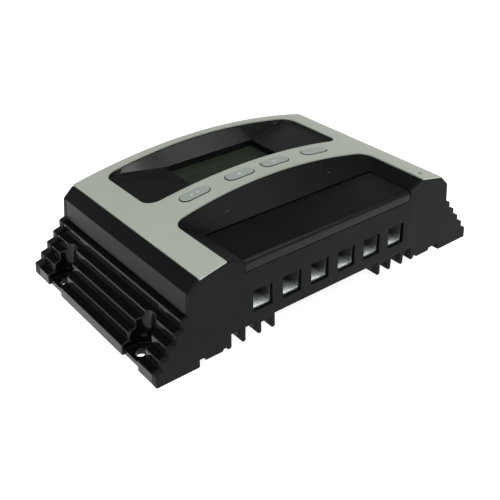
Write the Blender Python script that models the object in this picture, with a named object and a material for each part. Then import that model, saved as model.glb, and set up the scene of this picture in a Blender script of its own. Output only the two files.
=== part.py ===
"""Solar charge controller: a finned aluminium base, two end panels, an arched upper housing with a
silver face plate, an LCD, four push-buttons, and six rising-cage wire terminals under a lift-off cover.

All sizes below are millimetres. X runs along the long side, -Y is the terminal side, +Z is up, and
the origin is the middle of the footprint. Objects are written in metres.
"""
import math

import bmesh
import bpy
from mathutils import Vector

MM = 0.001
GAP = 0.3                     # clearance between neighbouring pieces

# ---------------------------------------------------------------- driving dimensions
HALF_WIDTH = 94.0
HALF_DEPTH = 53.5
HEIGHT = 49.05
ARCH_RADIUS = 309.0           # the top is an arc across the width
FRONT_LEAN = 0.0496           # how far the end faces lean in, per unit of height
BACK_LEAN = 0.0778

# stepped side fins: the tip of the first fin, then the same step down to each next one
FIRST_TIP = (79.05, 24.3)
STEP_RUN = 3.69
STEP_DROP = 4.75
STEP_COUNT = 5                # four fins and the foot
LEDGE_FALL = 1.05
FACE_LEAN = 0.15
RIM_X = 76.7                  # foot of the side wall, where the first ledge starts
RIM_Z = 25.35

# the wall and chamfer above the fins
WALL_TOP = (76.0, 35.4)
CHAMFER_TOP = (70.9, 40.5)

# underside: fins and flats are set about a line a little left of the middle
GROUP_X = -2.35
MIDDLE_Z = 9.5                # raised middle of the underside
CUT_CORNER = 0.6
FIN_BLADES = [                # inner edge, outer edge, bottom, roof of the slot outside it
    (31.2, 33.4, 2.3, 7.6),
    (38.7, 40.8, 2.4, 9.0),
    (47.2, 49.3, 2.1, 8.8),
    (54.6, 57.0, 1.9, 3.2),
]
FLAT_INNER = 58.6
FLAT_OUTER = 68.4
FLAT_Z = 2.2
NOTCH_Z = 3.6
FOOT_INNER = 73.0

# base plate, end panels and housing walls
PLATE_TOP = 12.0
SIDE_BLOCK_X = 68.0
FRONT_JOINT = -50.3           # back face of the front panel
REAR_JOINT = 48.2             # front face of the rear panel
PANEL_PROUD = 0.35            # the panels stand this far proud of the side fins
TERMINAL_PROUD = 0.45
WALL = 2.2
FACE_THICK = 0.8
FACE_EDGE = 70.5              # half width of the face plate
HOUSING_DROP = FACE_THICK + GAP

# mounting channels in the side fins
CHANNEL_Y = 33.3
CHANNEL_RADIUS = 5.9
CHANNEL_DEPTH_X = 81.2
FLANGE_TOP = 2.8
FLANGE_EDGE = 92.8
MOUNT_HOLE = (88.5, 33.3, 2.3)

# windows in the face plate
WINDOW_X = 57.4
WINDOW_RADIUS = 6.5
UPPER_FRONT = 5.2
UPPER_REAR = 45.7
UPPER_BOW = 1.4               # each rear edge bows forward by this much at the window's sides
TRAY_Z = 42.5                 # floor round the display
DISPLAY_X = (GROUP_X - 26.65, GROUP_X + 26.65)
DISPLAY_Y = (8.0, 36.2)
LOWER_REAR = -10.8
LOWER_BOW = 2.8

# terminal cover and its seat
COVER_X = 48.5
COVER_REAR = -25.9
COVER_TOP = 40.3
COVER_THICK = 2.0
COVER_SKIRT_Z = 35.4
SEAT_X = 48.9
SEAT_REAR = -25.5
SEAT_Z = 38.0
CLIP_X = 30.0
CLIP_Y = -30.5

# six wire terminals
TERMINAL_PITCH = 16.08
TERMINAL_Y = -44.6
ENTRY_SIZE = 10.2
ENTRY_Z = (14.85, 25.05)
CAGE_WIDTH = 12.0
CAGE_Y = (-50.9, -39.6)
CAGE_Z = (13.8, 28.0)
CAGE_TOP_THICK = 1.6
BAR_WIDTH = 7.2
BAR_Z = (24.9, 26.1)
BLOCK_X = 48.0
BLOCK_Y = (-49.9, -36.4)
BLOCK_TOP = 37.4
BLOCK_FOOT_Y = (-49.9, -39.8)  # the block's floor, in front of the main board
BLOCK_FOOT_Z = (12.4, 13.5)
POCKET_X = 46.8               # the front panel is thinner in front of the cages
POCKET_Y = -51.2
POCKET_Z = (13.4, 33.5)
SCREW_TIP_Z = 26.4
SCREW_HEAD_Z = (34.9, 37.2)
SCREW_SHELF_Z = (33.5, 34.6)  # the shelf that a terminal screw's head rests on

# circuit boards and what stands on them
BOARD_Z = (13.3, 14.9)
BOARD_X = 55.5
BOARD_Y = (-39.4, 44.0)
BOARD_SCREWS = [(-50.0, -28.0), (50.0, -28.0), (-50.0, 38.0), (50.0, 38.0)]
ON_BOARD = BOARD_Z[1] + GAP
DISPLAY_BOARD_Z = (31.1, 32.7)
DISPLAY_BOARD_X = (GROUP_X - 42.0, GROUP_X + 42.0)
DISPLAY_BOARD_Y = (-13.5, 44.0)
DISPLAY_SCREWS = [(GROUP_X - 38.5, -9.6), (GROUP_X + 38.5, -9.6),
                  (GROUP_X - 38.5, 40.0), (GROUP_X + 38.5, 40.0)]
GLASS_Z = (36.3, 39.1)
HOUSING_SCREWS = [(GROUP_X - 62.5, -36.0), (GROUP_X + 62.5, -36.0),
                  (GROUP_X - 62.5, 36.0), (GROUP_X + 62.5, 36.0)]

# push-buttons
BUTTON_X = [GROUP_X - 35.45, GROUP_X - 10.45, GROUP_X + 10.45, GROUP_X + 35.45]
BUTTON_Y = -2.2
BUTTON_LENGTH = 15.0
BUTTON_WIDTH = 6.1
BUTTON_SLOT = 0.25
BUTTON_PROUD = 0.3            # a button's middle stands this far above the face plate
PLUNGER_TOP = 38.0
STEM_END = 38.8
LAMP = (62.5, -44.9)

ARCH_STEPS = 20
ROUND = 16                    # sides of a round piece
SMOOTH_ANGLE = math.radians(30)

COLORS = {                    # base colour, roughness, metallic
    "black_metal": ((0.018, 0.018, 0.019), 0.48, 0.0),
    "black_plastic": ((0.022, 0.022, 0.022), 0.42, 0.0),
    "silver_plate": ((0.42, 0.44, 0.38), 0.38, 0.3),
    "button_grey": ((0.33, 0.37, 0.34), 0.40, 0.0),
    "display_glass": ((0.030, 0.042, 0.026), 0.12, 0.0),
    "frame_white": ((0.75, 0.75, 0.72), 0.50, 0.0),
    "board_green": ((0.012, 0.075, 0.030), 0.45, 0.0),
    "nickel": ((0.62, 0.62, 0.60), 0.22, 1.0),
    "steel": ((0.45, 0.45, 0.46), 0.30, 1.0),
    "tinned_copper": ((0.60, 0.56, 0.50), 0.30, 1.0),
    "dark_part": ((0.015, 0.015, 0.016), 0.35, 0.0),
    "capacitor_sleeve": ((0.010, 0.012, 0.030), 0.35, 0.0),
    "fuse_yellow": ((0.70, 0.42, 0.03), 0.30, 0.0),
    "lamp_dark": ((0.020, 0.050, 0.020), 0.15, 0.0),
}


# ---------------------------------------------------------------- scene and materials
def clear_scene():
    for old in list(bpy.data.objects):
        bpy.data.objects.remove(old, do_unlink=True)


def new_collection(name):
    group = bpy.data.collections.new(name)
    bpy.context.scene.collection.children.link(group)
    return group


def make_material(name):
    color, roughness, metallic = COLORS[name]
    material = bpy.data.materials.new(name)
    material.use_nodes = True
    shader = material.node_tree.nodes["Principled BSDF"]
    shader.inputs["Base Color"].default_value = (*color, 1.0)
    shader.inputs["Roughness"].default_value = roughness
    shader.inputs["Metallic"].default_value = metallic
    return material


clear_scene()
PIECES = new_collection("charge_controller")
TOOLS = new_collection("cutters")
MATERIALS = {name: make_material(name) for name in COLORS}


# ---------------------------------------------------------------- building blocks
def arch(x):
    """Height of the arched top at x."""
    return HEIGHT - ARCH_RADIUS + math.sqrt(ARCH_RADIUS ** 2 - x ** 2)


def front_face(z):
    return -HALF_DEPTH + FRONT_LEAN * z


def back_face(z):
    return HALF_DEPTH - BACK_LEAN * z


def finish_object(bm, name, group, origin=(0.0, 0.0, 0.0)):
    """Turn a bmesh in millimetres into an object in metres, with its origin at the given point."""
    bmesh.ops.recalc_face_normals(bm, faces=bm.faces)
    bmesh.ops.translate(bm, verts=bm.verts, vec=-Vector(origin))
    bmesh.ops.scale(bm, verts=bm.verts, vec=(MM, MM, MM))
    mesh = bpy.data.meshes.new(name)
    bm.to_mesh(mesh)
    bm.free()
    obj = bpy.data.objects.new(name, mesh)
    obj.location = Vector(origin) * MM
    group.objects.link(obj)
    return obj


def piece(bm, name, material, origin=(0.0, 0.0, 0.0)):
    obj = finish_object(bm, name, PIECES, origin)
    obj.data.materials.append(MATERIALS[material])
    obj.data.shade_smooth()
    obj.data.set_sharp_from_angle(angle=SMOOTH_ANGLE)
    return obj


def tool(bm, name):
    """A shape that cuts or joins another piece; it isn't part of the object itself."""
    obj = finish_object(bm, name, TOOLS)
    obj.hide_render = True
    obj.display_type = "WIRE"
    return obj


def combine(obj, operation, *shapes):
    for number, bm in enumerate(shapes):
        other = tool(bm, f"{obj.name}_{operation.lower()}_{len(obj.modifiers) + number}")
        step = obj.modifiers.new(other.name, "BOOLEAN")
        step.operation = operation
        step.solver = "EXACT"
        step.object = other


def cut(obj, *shapes):
    combine(obj, "DIFFERENCE", *shapes)


def join(obj, *shapes):
    combine(obj, "UNION", *shapes)


def extrude(outline, low, high, axis):
    """Extrude a flat outline along an axis. Outlines are (x, z) along Y, (y, z) along X, (x, y) along Z."""
    def place(point, distance):
        a, b = point
        return {"X": (distance, a, b), "Y": (a, distance, b), "Z": (a, b, distance)}[axis]

    bm = bmesh.new()
    start = bm.faces.new([bm.verts.new(place(point, low)) for point in outline])
    grown = bmesh.ops.extrude_face_region(bm, geom=[start])["geom"]
    moved = [item for item in grown if isinstance(item, bmesh.types.BMVert)]
    bmesh.ops.translate(bm, verts=moved, vec=place((0.0, 0.0), high - low))
    return bm


def box(x, y, z):
    """A box from three (low, high) ranges."""
    bm = bmesh.new()
    bmesh.ops.create_cube(bm, size=1.0)
    for vert in bm.verts:
        for axis, (low, high) in enumerate((x, y, z)):
            vert.co[axis] = low if vert.co[axis] < 0 else high
    return bm


def cylinder(center, radius, z, sides=ROUND):
    bm = bmesh.new()
    bmesh.ops.create_cone(bm, cap_ends=True, segments=sides, radius1=radius, radius2=radius,
                          depth=z[1] - z[0])
    bmesh.ops.translate(bm, verts=bm.verts, vec=(center[0], center[1], (z[0] + z[1]) / 2))
    return bm


def merge(*shapes):
    """Several shapes that don't touch, in one bmesh, for use as one tool."""
    whole = bmesh.new()
    for bm in shapes:
        mesh = bpy.data.meshes.new("merge")
        bm.to_mesh(mesh)
        bm.free()
        whole.from_mesh(mesh)
        bpy.data.meshes.remove(mesh)
    return whole


def around(x, half):
    return (x - half, x + half)


def capsule(center, length, width, steps=6):
    """Outline of a slot with round ends, lying along X."""
    radius = width / 2
    points = []
    for side in (1, -1):
        middle = center[0] + side * (length / 2 - radius)
        for step in range(steps + 1):
            angle = -math.pi / 2 * side + math.pi * step / steps
            points.append((middle + radius * math.cos(angle), center[1] + radius * math.sin(angle)))
    return points


def mirrored(points):
    """The same points at -x, in reverse, so that a right half becomes the left half."""
    return [(-x, z) for x, z in reversed(points)]


# ---------------------------------------------------------------- outlines
def side_steps(proud):
    """Right side of the fins from the foot up to the rim; proud lifts the ledges and fin faces."""
    points = [(HALF_WIDTH, 0.0)]
    for step in reversed(range(STEP_COUNT)):
        tip_x = FIRST_TIP[0] + STEP_RUN * step
        tip_z = FIRST_TIP[1] - STEP_DROP * step
        out = 0.0 if step == STEP_COUNT - 1 else proud
        points.append((tip_x + out, tip_z + proud))
        if step > 0:
            points.append((tip_x - STEP_RUN + FACE_LEAN + proud, tip_z + LEDGE_FALL + proud))
    points.append((RIM_X, RIM_Z + proud))
    return points


def underside():
    """Bottom outline from the left foot to the right foot: feet, notches, flats and fin blades."""
    half = [(0.0, MIDDLE_Z)]
    roof = MIDDLE_Z
    for inner, outer, bottom, next_roof in FIN_BLADES:
        half += [(inner, roof), (inner, bottom + CUT_CORNER), (inner + CUT_CORNER, bottom),
                 (outer - CUT_CORNER, bottom), (outer, bottom + CUT_CORNER), (outer, next_roof)]
        roof = next_roof
    half += [(FLAT_INNER, roof), (FLAT_INNER + CUT_CORNER, FLAT_Z), (FLAT_OUTER - CUT_CORNER, FLAT_Z),
             (FLAT_OUTER, NOTCH_Z)]
    foot = [(FOOT_INNER, NOTCH_Z), (FOOT_INNER, CUT_CORNER), (FOOT_INNER + CUT_CORNER, 0.0)]
    right = [(GROUP_X + x, z) for x, z in half] + foot
    left = [(GROUP_X - x, z) for x, z in half] + [(-x, z) for x, z in foot]
    return list(reversed(left))[:-1] + right[1:]


def arch_points(low, high, drop, steps=ARCH_STEPS):
    span = high - low
    return [(low + span * step / steps, arch(low + span * step / steps) - drop) for step in range(steps + 1)]


def panel_outline(top):
    """Closed outline of an end panel: underside, right steps and wall, a top line, then the left side."""
    right = side_steps(PANEL_PROUD) + [WALL_TOP, CHAMFER_TOP]
    return underside() + right + top + mirrored(right)


def tray_loops(outline, to_floor, floor_z):
    """Three loops of a tray's air: its floor, just above the housing's top, and well above that."""
    overshoot = 1.12
    loops = [[], [], []]
    for x, y in outline:
        floor = Vector((*to_floor(x, y), floor_z))
        rim = Vector((x, y, arch(x) - HOUSING_DROP))
        over = floor + (rim - floor) * overshoot
        loops[0].append(floor)
        loops[1].append(over)
        loops[2].append(Vector((over.x, over.y, HEIGHT + 10.0)))
    return loops


def loft(loops):
    """Skin a stack of loops that have equal counts of points, and cap both ends."""
    bm = bmesh.new()
    rings = [[bm.verts.new(point) for point in loop] for loop in loops]
    count = len(rings[0])
    for lower, upper in zip(rings, rings[1:]):
        for index in range(count):
            after = (index + 1) % count
            bm.faces.new((lower[index], lower[after], upper[after], upper[index]))
    bm.faces.new(list(reversed(rings[0])))
    bm.faces.new(rings[-1])
    bmesh.ops.triangulate(bm, faces=[face for face in bm.faces if len(face.verts) == 4])
    return bm


def window_outline(front, rear, radius=WINDOW_RADIUS, half=WINDOW_X, corner_steps=4, rear_steps=8):
    """A window with round corners; rear(x) is its rear edge, drawn with points along it."""
    points = []
    for side, turn in ((-1, math.pi), (1, -math.pi / 2)):
        for step in range(corner_steps + 1):
            angle = turn + math.pi / 2 * step / corner_steps
            points.append((side * (half - radius) + radius * math.cos(angle),
                           front + radius + radius * math.sin(angle)))
    inner = half - radius
    for side, turn in ((1, 0.0), (-1, math.pi / 2)):
        for step in range(corner_steps + 1):
            angle = turn + math.pi / 2 * step / corner_steps
            x = side * inner + radius * math.cos(angle)
            points.append((x, rear(side * inner) - radius + radius * math.sin(angle)))
        if side == 1:
            for step in range(1, rear_steps):
                x = inner - 2 * inner * step / rear_steps
                points.append((x, rear(x)))
    return points


def upper_rear(x):
    return UPPER_REAR - UPPER_BOW * (x / WINDOW_X) ** 2


def lower_rear(x):
    return LOWER_REAR - LOWER_BOW * (x / WINDOW_X) ** 2


def tray_foot(x):
    """Where the tray's rear slope meets its floor: along the display, then out to the rear corners."""
    low, high = DISPLAY_X
    corner = WINDOW_X - WINDOW_RADIUS
    beyond = max(low - x, x - high, 0.0)
    reach = corner + low if x < low else corner - high
    return DISPLAY_Y[1] + (upper_rear(corner) - DISPLAY_Y[1]) * beyond / reach


def upper_floor(x, y):
    return x, min(y, tray_foot(x))


def lower_floor(x, y):
    """The terminal recess narrows from the window's outline to a smaller round-cornered outline."""
    shrink = (SEAT_X - 0.4) / WINDOW_X
    top = lower_rear(x)
    fall = max(0.0, 1.0 - (top - y) / (WINDOW_RADIUS + 0.5))
    return x * shrink, min(y, SEAT_REAR - (1.0 - fall) * 1.2)


# ---------------------------------------------------------------- base and panels
def heatsink_base():
    right = side_steps(0.0) + [(SIDE_BLOCK_X, RIM_Z), (SIDE_BLOCK_X, PLATE_TOP)]
    outline = underside() + right + mirrored(right)
    base = piece(extrude(outline, FRONT_JOINT + GAP, REAR_JOINT - GAP, "Y"), "heatsink_base", "black_metal")
    join(base, merge(*(cylinder(spot, 3.0, (PLATE_TOP - 1.0, BOARD_Z[0] - GAP)) for spot in BOARD_SCREWS)))

    channels = []
    edges = []
    holes = []
    for side in (-1, 1):
        for row in (-1, 1):
            middle = (side * (CHANNEL_DEPTH_X + 15.0), row * CHANNEL_Y)
            channels.append(extrude(capsule(middle, 30.0, 2 * CHANNEL_RADIUS), FLANGE_TOP, 30.0, "Z"))
            outer = sorted((side * FLANGE_EDGE, side * (HALF_WIDTH + 4.0)))
            edges.append(box(outer, around(middle[1], CHANNEL_RADIUS), (-2.0, FLANGE_TOP + 0.5)))
            holes.append(cylinder((side * MOUNT_HOLE[0], row * MOUNT_HOLE[1]), MOUNT_HOLE[2], (-1.0, 4.0)))
    cut(base, merge(*channels), merge(*edges), merge(*holes))
    cut(base, merge(*(cylinder(spot, 1.5, (9.9, 14.0)) for spot in BOARD_SCREWS)))
    cut(base, merge(*(cylinder(spot, 3.1, (-1.0, 5.5)) for spot in HOUSING_SCREWS)))
    cut(base, merge(*(cylinder(spot, 1.8, (5.0, 13.0)) for spot in HOUSING_SCREWS)))
    return base


def lean_front(bm):
    """Lean the front face back, and stand the terminal area a little proud with slanted sides."""
    facets = ((WINDOW_X, 0.0), (SEAT_X, TERMINAL_PROUD))
    fin_line = MIDDLE_Z - 0.3
    for line, _ in facets:
        for side in (-1, 1):
            slice_at(bm, (side * line, 0.0, 0.0), (1.0, 0.0, 0.0))
    slice_at(bm, (0.0, 0.0, fin_line), (0.0, 0.0, 1.0))
    slice_at(bm, (0.0, 0.0, MIDDLE_Z - 0.05), (0.0, 0.0, 1.0))
    for vert in bm.verts:
        if vert.co.y < FRONT_JOINT - 0.1:
            inside = abs(vert.co.x) < SEAT_X + 0.01 and vert.co.z > fin_line + 0.01
            vert.co.y = front_face(vert.co.z) - (TERMINAL_PROUD if inside else 0.0)


def slice_at(bm, point, normal):
    geometry = list(bm.verts) + list(bm.edges) + list(bm.faces)
    bmesh.ops.bisect_plane(bm, geom=geometry, dist=0.0001, plane_co=point, plane_no=normal)


def front_panel():
    wing = arch_points(WINDOW_X, FACE_EDGE, HOUSING_DROP, 4)
    notch = [(SEAT_X, COVER_TOP), (SEAT_X, COVER_SKIRT_Z - GAP)]
    right = list(reversed(wing)) + notch
    bm = extrude(panel_outline(right + mirrored(right)), FRONT_JOINT, -HALF_DEPTH, "Y")
    lean_front(bm)
    panel = piece(bm, "front_panel", "black_plastic")
    entries = [box(around(x, ENTRY_SIZE / 2), (-60.0, -45.0), ENTRY_Z) for x in terminal_places()]
    cut(panel, merge(*entries), box(around(0.0, POCKET_X), (POCKET_Y, -45.0), POCKET_Z))
    return panel


def rear_panel():
    top = list(reversed(arch_points(-FACE_EDGE, FACE_EDGE, HOUSING_DROP)))
    bm = extrude(panel_outline(top), REAR_JOINT, HALF_DEPTH, "Y")
    for vert in bm.verts:
        if vert.co.y > REAR_JOINT + 0.1:
            vert.co.y = back_face(vert.co.z)
    return piece(bm, "rear_panel", "black_plastic")


# ---------------------------------------------------------------- upper housing and face plate
def upper_housing():
    foot_z = RIM_Z + 0.35
    riser = FACE_EDGE + GAP
    outer_right = [(RIM_X, foot_z), WALL_TOP, (riser, CHAMFER_TOP[1] + 0.1)]
    outer_top = list(reversed(arch_points(-riser, riser, HOUSING_DROP)))
    outer = outer_right + outer_top + mirrored(outer_right)
    inner_right = [(RIM_X - 2.5, foot_z), (WALL_TOP[0] - 2.5, WALL_TOP[1] - 1.0)]
    inner_top = list(reversed(arch_points(1.5 - riser, riser - 1.5, HOUSING_DROP + WALL)))
    inner = list(reversed(inner_right + inner_top + mirrored(inner_right)))
    low, high = FRONT_JOINT + GAP, REAR_JOINT - GAP
    housing = piece(extrude(outer + inner, low, high, "Y"), "upper_housing", "black_plastic")

    pad = WINDOW_X + 2.1
    buried = arch_points(-pad, pad, HOUSING_DROP + 1.0, 24)
    upper = extrude([(pad, 40.2), (-pad, 40.2)] + buried, UPPER_FRONT - WALL, high, "Y")
    lower = extrude([(pad, 36.0), (-pad, 36.0)] + buried, low, LOWER_REAR + WALL, "Y")
    rim = box((DISPLAY_X[0] - 2.8, DISPLAY_X[1] + 2.8), (DISPLAY_Y[0] - 2.5, DISPLAY_Y[1] + 2.4),
              (GLASS_Z[1] + GAP, 41.5))
    join(housing, upper, lower, rim)
    join(housing, merge(*(cylinder(spot, 2.8, (PLATE_TOP + 0.4, 40.0)) for spot in HOUSING_SCREWS)))
    join(housing, merge(*(cylinder(spot, 2.6, (DISPLAY_BOARD_Z[1] + GAP, 42.0)) for spot in DISPLAY_SCREWS)))

    upper_air = tray_loops(window_outline(UPPER_FRONT, upper_rear), upper_floor, TRAY_Z)
    lower_air = tray_loops(window_outline(-62.0, lower_rear), lower_floor, COVER_TOP)
    cut(housing, loft(upper_air), loft(lower_air))
    cut(housing, box(DISPLAY_X, DISPLAY_Y, (35.0, 44.0)))
    cut(housing, box(around(0.0, SEAT_X), (-55.0, SEAT_REAR), (SEAT_Z, 41.5)))
    cut(housing, box(around(0.0, BLOCK_X + 0.4), (-55.0, BLOCK_Y[1] + 0.4), (30.0, 39.0)))
    clips = [box(around(side * CLIP_X, 3.6), around(CLIP_Y, 1.0), (33.0, 39.0)) for side in (-1, 1)]
    cut(housing, merge(*clips))
    slots = [button_outline(x, 2 * BUTTON_SLOT) for x in BUTTON_X]
    cut(housing, merge(*(extrude(slot, 35.0, 60.0, "Z") for slot in slots)))
    cut(housing, cylinder(LAMP, 1.6, (30.0, 60.0)))
    cut(housing, merge(*(cylinder(spot, 1.7, (10.0, 26.0)) for spot in HOUSING_SCREWS)))
    cut(housing, merge(*(cylinder(spot, 1.2, (30.0, 38.0)) for spot in DISPLAY_SCREWS)))
    return housing


def button_outline(x, grow):
    return capsule((x, BUTTON_Y), BUTTON_LENGTH + grow, BUTTON_WIDTH + grow)


def face_plate():
    top = arch_points(-FACE_EDGE, FACE_EDGE, 0.0)
    under = arch_points(-FACE_EDGE, FACE_EDGE, FACE_THICK)
    bm = extrude(top + list(reversed(under)), -HALF_DEPTH, HALF_DEPTH, "Y")
    for vert in bm.verts:
        vert.co.y = front_face(vert.co.z) if vert.co.y < 0 else back_face(vert.co.z)
    plate = piece(bm, "face_plate", "silver_plate")
    cut(plate, extrude(window_outline(UPPER_FRONT, upper_rear), 30.0, 60.0, "Z"))
    cut(plate, extrude(window_outline(-62.0, lower_rear), 30.0, 60.0, "Z"))
    slots = [button_outline(x, 2 * BUTTON_SLOT) for x in BUTTON_X]
    cut(plate, merge(*(extrude(slot, 30.0, 60.0, "Z") for slot in slots)))
    cut(plate, cylinder(LAMP, 1.6, (30.0, 60.0)))
    return plate


def terminal_cover():
    """A flat lid with a front skirt, its front edge rounded, on two snap legs."""
    radius = 1.5
    under = COVER_TOP - COVER_THICK
    front = front_face(COVER_TOP) - TERMINAL_PROUD
    skirt_front = front_face(COVER_SKIRT_Z) - TERMINAL_PROUD
    skirt_back = FRONT_JOINT + 0.1
    rounded = []
    for step in range(5):
        angle = math.pi / 2 * (1 + step / 4)
        rounded.append((front + radius + radius * math.cos(angle),
                        COVER_TOP - radius + radius * math.sin(angle)))
    profile = [(COVER_REAR, under), (COVER_REAR, COVER_TOP)] + rounded
    profile += [(skirt_front, COVER_SKIRT_Z), (skirt_back, COVER_SKIRT_Z), (skirt_back, under)]
    bm = extrude(profile, -COVER_X, COVER_X, "X")
    corners = [edge for edge in bm.edges
               if all(abs(vert.co.y - COVER_REAR) < 0.01 and abs(abs(vert.co.x) - COVER_X) < 0.01
                      for vert in edge.verts) and abs(edge.verts[0].co.z - edge.verts[1].co.z) > 1.0]
    bmesh.ops.bevel(bm, geom=corners, offset=1.6, segments=4, affect="EDGES", profile=0.5)
    cover = piece(bm, "terminal_cover", "black_plastic", (0.0, CLIP_Y, under))
    legs = [box(around(side * CLIP_X, 3.0), around(CLIP_Y, 0.6), (34.6, under + 0.6)) for side in (-1, 1)]
    join(cover, merge(*legs))
    return cover


# ---------------------------------------------------------------- display and buttons
def display():
    glass_y = (DISPLAY_Y[0] - 3.0, DISPLAY_Y[1] + 3.0)
    piece(box(around(GROUP_X, 31.0), glass_y, GLASS_Z), "display_glass", "display_glass")
    frame = piece(box(around(GROUP_X, 32.0), (glass_y[0] - 1.0, glass_y[1] + 1.0),
                      (DISPLAY_BOARD_Z[1] + GAP, GLASS_Z[0] - GAP)), "display_frame", "frame_white")
    cut(frame, box(around(GROUP_X, 26.0), (DISPLAY_Y[0], DISPLAY_Y[1]), (35.0, 37.0)))
    board = piece(box(DISPLAY_BOARD_X, DISPLAY_BOARD_Y, DISPLAY_BOARD_Z), "display_board", "board_green")
    cut(board, merge(*(cylinder(spot, 1.3, (30.0, 34.0)) for spot in DISPLAY_SCREWS)))
    for number, spot in enumerate(DISPLAY_SCREWS, start=1):
        screw = piece(cylinder(spot, 0.85, (29.5, 37.0), 12), f"display_screw_{number}", "steel")
        join(screw, cylinder(spot, 2.3, (DISPLAY_BOARD_Z[0] - GAP - 1.8, DISPLAY_BOARD_Z[0] - GAP)))


def push_button(number, x):
    """A capsule cap that follows the arch, a flange that keeps it in, and a stem above its switch."""
    slope = -x / math.sqrt(ARCH_RADIUS ** 2 - x ** 2)
    reach = abs(x) + BUTTON_LENGTH / 2
    flange_top = arch(reach) - HOUSING_DROP - WALL - 0.4
    flange_low = flange_top - 1.3
    top = arch(x) + BUTTON_PROUD
    bm = extrude(button_outline(x, 0.0), flange_top - 0.5, top, "Z")
    for vert in bm.verts:
        if vert.co.z > flange_top:
            vert.co.z = top + slope * (vert.co.x - x)
    button = piece(bm, f"button_{number}", "button_grey", (x, BUTTON_Y, top))
    join(button, extrude(button_outline(x, 2.0), flange_low, flange_top, "Z"))
    join(button, cylinder((x, BUTTON_Y), 1.6, (STEM_END, flange_low + 0.5)))


def tact_switch(number, x):
    base_z = DISPLAY_BOARD_Z[1] + GAP
    switch = piece(box(around(x, 3.0), around(BUTTON_Y, 3.0), (base_z, base_z + 3.5)),
                   f"switch_{number}", "dark_part")
    join(switch, cylinder((x, BUTTON_Y), 1.7, (base_z + 3.0, PLUNGER_TOP)))


def status_lamp():
    lamp = piece(cylinder(LAMP, 1.25, (36.5, arch(LAMP[0]) - 0.1)), "status_lamp", "lamp_dark")
    join(lamp, cylinder(LAMP, 2.2, (37.0, 38.5)))


# ---------------------------------------------------------------- main board and its parts
def main_board():
    board = piece(box(around(0.0, BOARD_X), BOARD_Y, BOARD_Z), "main_board", "board_green")
    cut(board, merge(*(cylinder(spot, 1.6, (12.0, 16.0)) for spot in BOARD_SCREWS)))
    for number, spot in enumerate(BOARD_SCREWS, start=1):
        screw = piece(cylinder(spot, 1.2, (10.2, ON_BOARD + 0.8), 12), f"board_screw_{number}", "steel")
        join(screw, cylinder(spot, 2.6, (ON_BOARD, ON_BOARD + 1.8)))


def housing_screws():
    for number, spot in enumerate(HOUSING_SCREWS, start=1):
        screw = piece(cylinder(spot, 1.35, (4.5, 20.0), 12), f"housing_screw_{number}", "steel")
        join(screw, cylinder(spot, 2.8, (2.7, 5.2)))
        cut(screw, box(around(spot[0], 2.0), around(spot[1], 0.4), (2.0, 3.6)))


def board_parts():
    for number, side in enumerate((-1, 1), start=1):
        piece(cylinder((side * 47.0, 10.0), 6.0, (ON_BOARD, 30.0)), f"capacitor_{number}", "capacitor_sleeve")
    number = 0
    for side in (-1, 1):
        profile = [(54.0, ON_BOARD), (63.0, ON_BOARD), (63.0, 12.8), (67.6, 12.8), (67.6, 24.4), (63.0, 24.4),
                   (63.0, ON_BOARD + 0.7), (54.0, ON_BOARD + 0.7)]
        for y in (-14.0, 14.0):
            number += 1
            outline = profile if side == 1 else mirrored(profile)
            piece(extrude(outline, y - 5.0, y + 5.0, "Y"), f"mosfet_{number}", "dark_part")
    holder = piece(box(around(0.0, 11.0), around(-24.0, 4.0), (ON_BOARD, 22.0)), "fuse_holder", "dark_part")
    cut(holder, box(around(0.0, 8.6), around(-24.0, 1.4), (17.0, 23.0)))
    fuse = piece(box(around(0.0, 9.5), around(-24.0, 2.4), (22.3, 29.5)), "fuse", "fuse_yellow")
    blades = [box(around(side * 6.0, 1.9), around(-24.0, 0.5), (17.6, 23.0)) for side in (-1, 1)]
    join(fuse, merge(*blades))
    piece(box(around(14.0, 6.0), around(20.0, 6.0), (ON_BOARD, ON_BOARD + 1.8)),
          "microcontroller", "dark_part")
    piece(box(around(GROUP_X, 13.0), around(38.0, 2.5), (ON_BOARD, DISPLAY_BOARD_Z[0] - GAP)),
          "board_connector", "dark_part")


# ---------------------------------------------------------------- wire terminals
def terminal_places():
    return [(index - 2.5) * TERMINAL_PITCH for index in range(6)]


def terminal_block():
    block = piece(box(around(0.0, BLOCK_X), BLOCK_Y, (ON_BOARD, BLOCK_TOP)), "terminal_block", "dark_part")
    low, high = SCREW_SHELF_Z
    join(block, box(around(0.0, BLOCK_X), BLOCK_FOOT_Y, (BLOCK_FOOT_Z[0], ON_BOARD + 1.0)))
    bays = [box(around(x, CAGE_WIDTH / 2 + GAP), (-55.0, BLOCK_Y[1] - 1.3), (BLOCK_FOOT_Z[1], low))
            for x in terminal_places()]
    holes = [cylinder((x, TERMINAL_Y), 2.3, (low - 1.0, high + 1.0)) for x in terminal_places()]
    wells = [cylinder((x, TERMINAL_Y), 3.6, (high, 40.0)) for x in terminal_places()]
    cut(block, merge(*bays))
    cut(block, merge(*holes))
    cut(block, merge(*wells))


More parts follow.
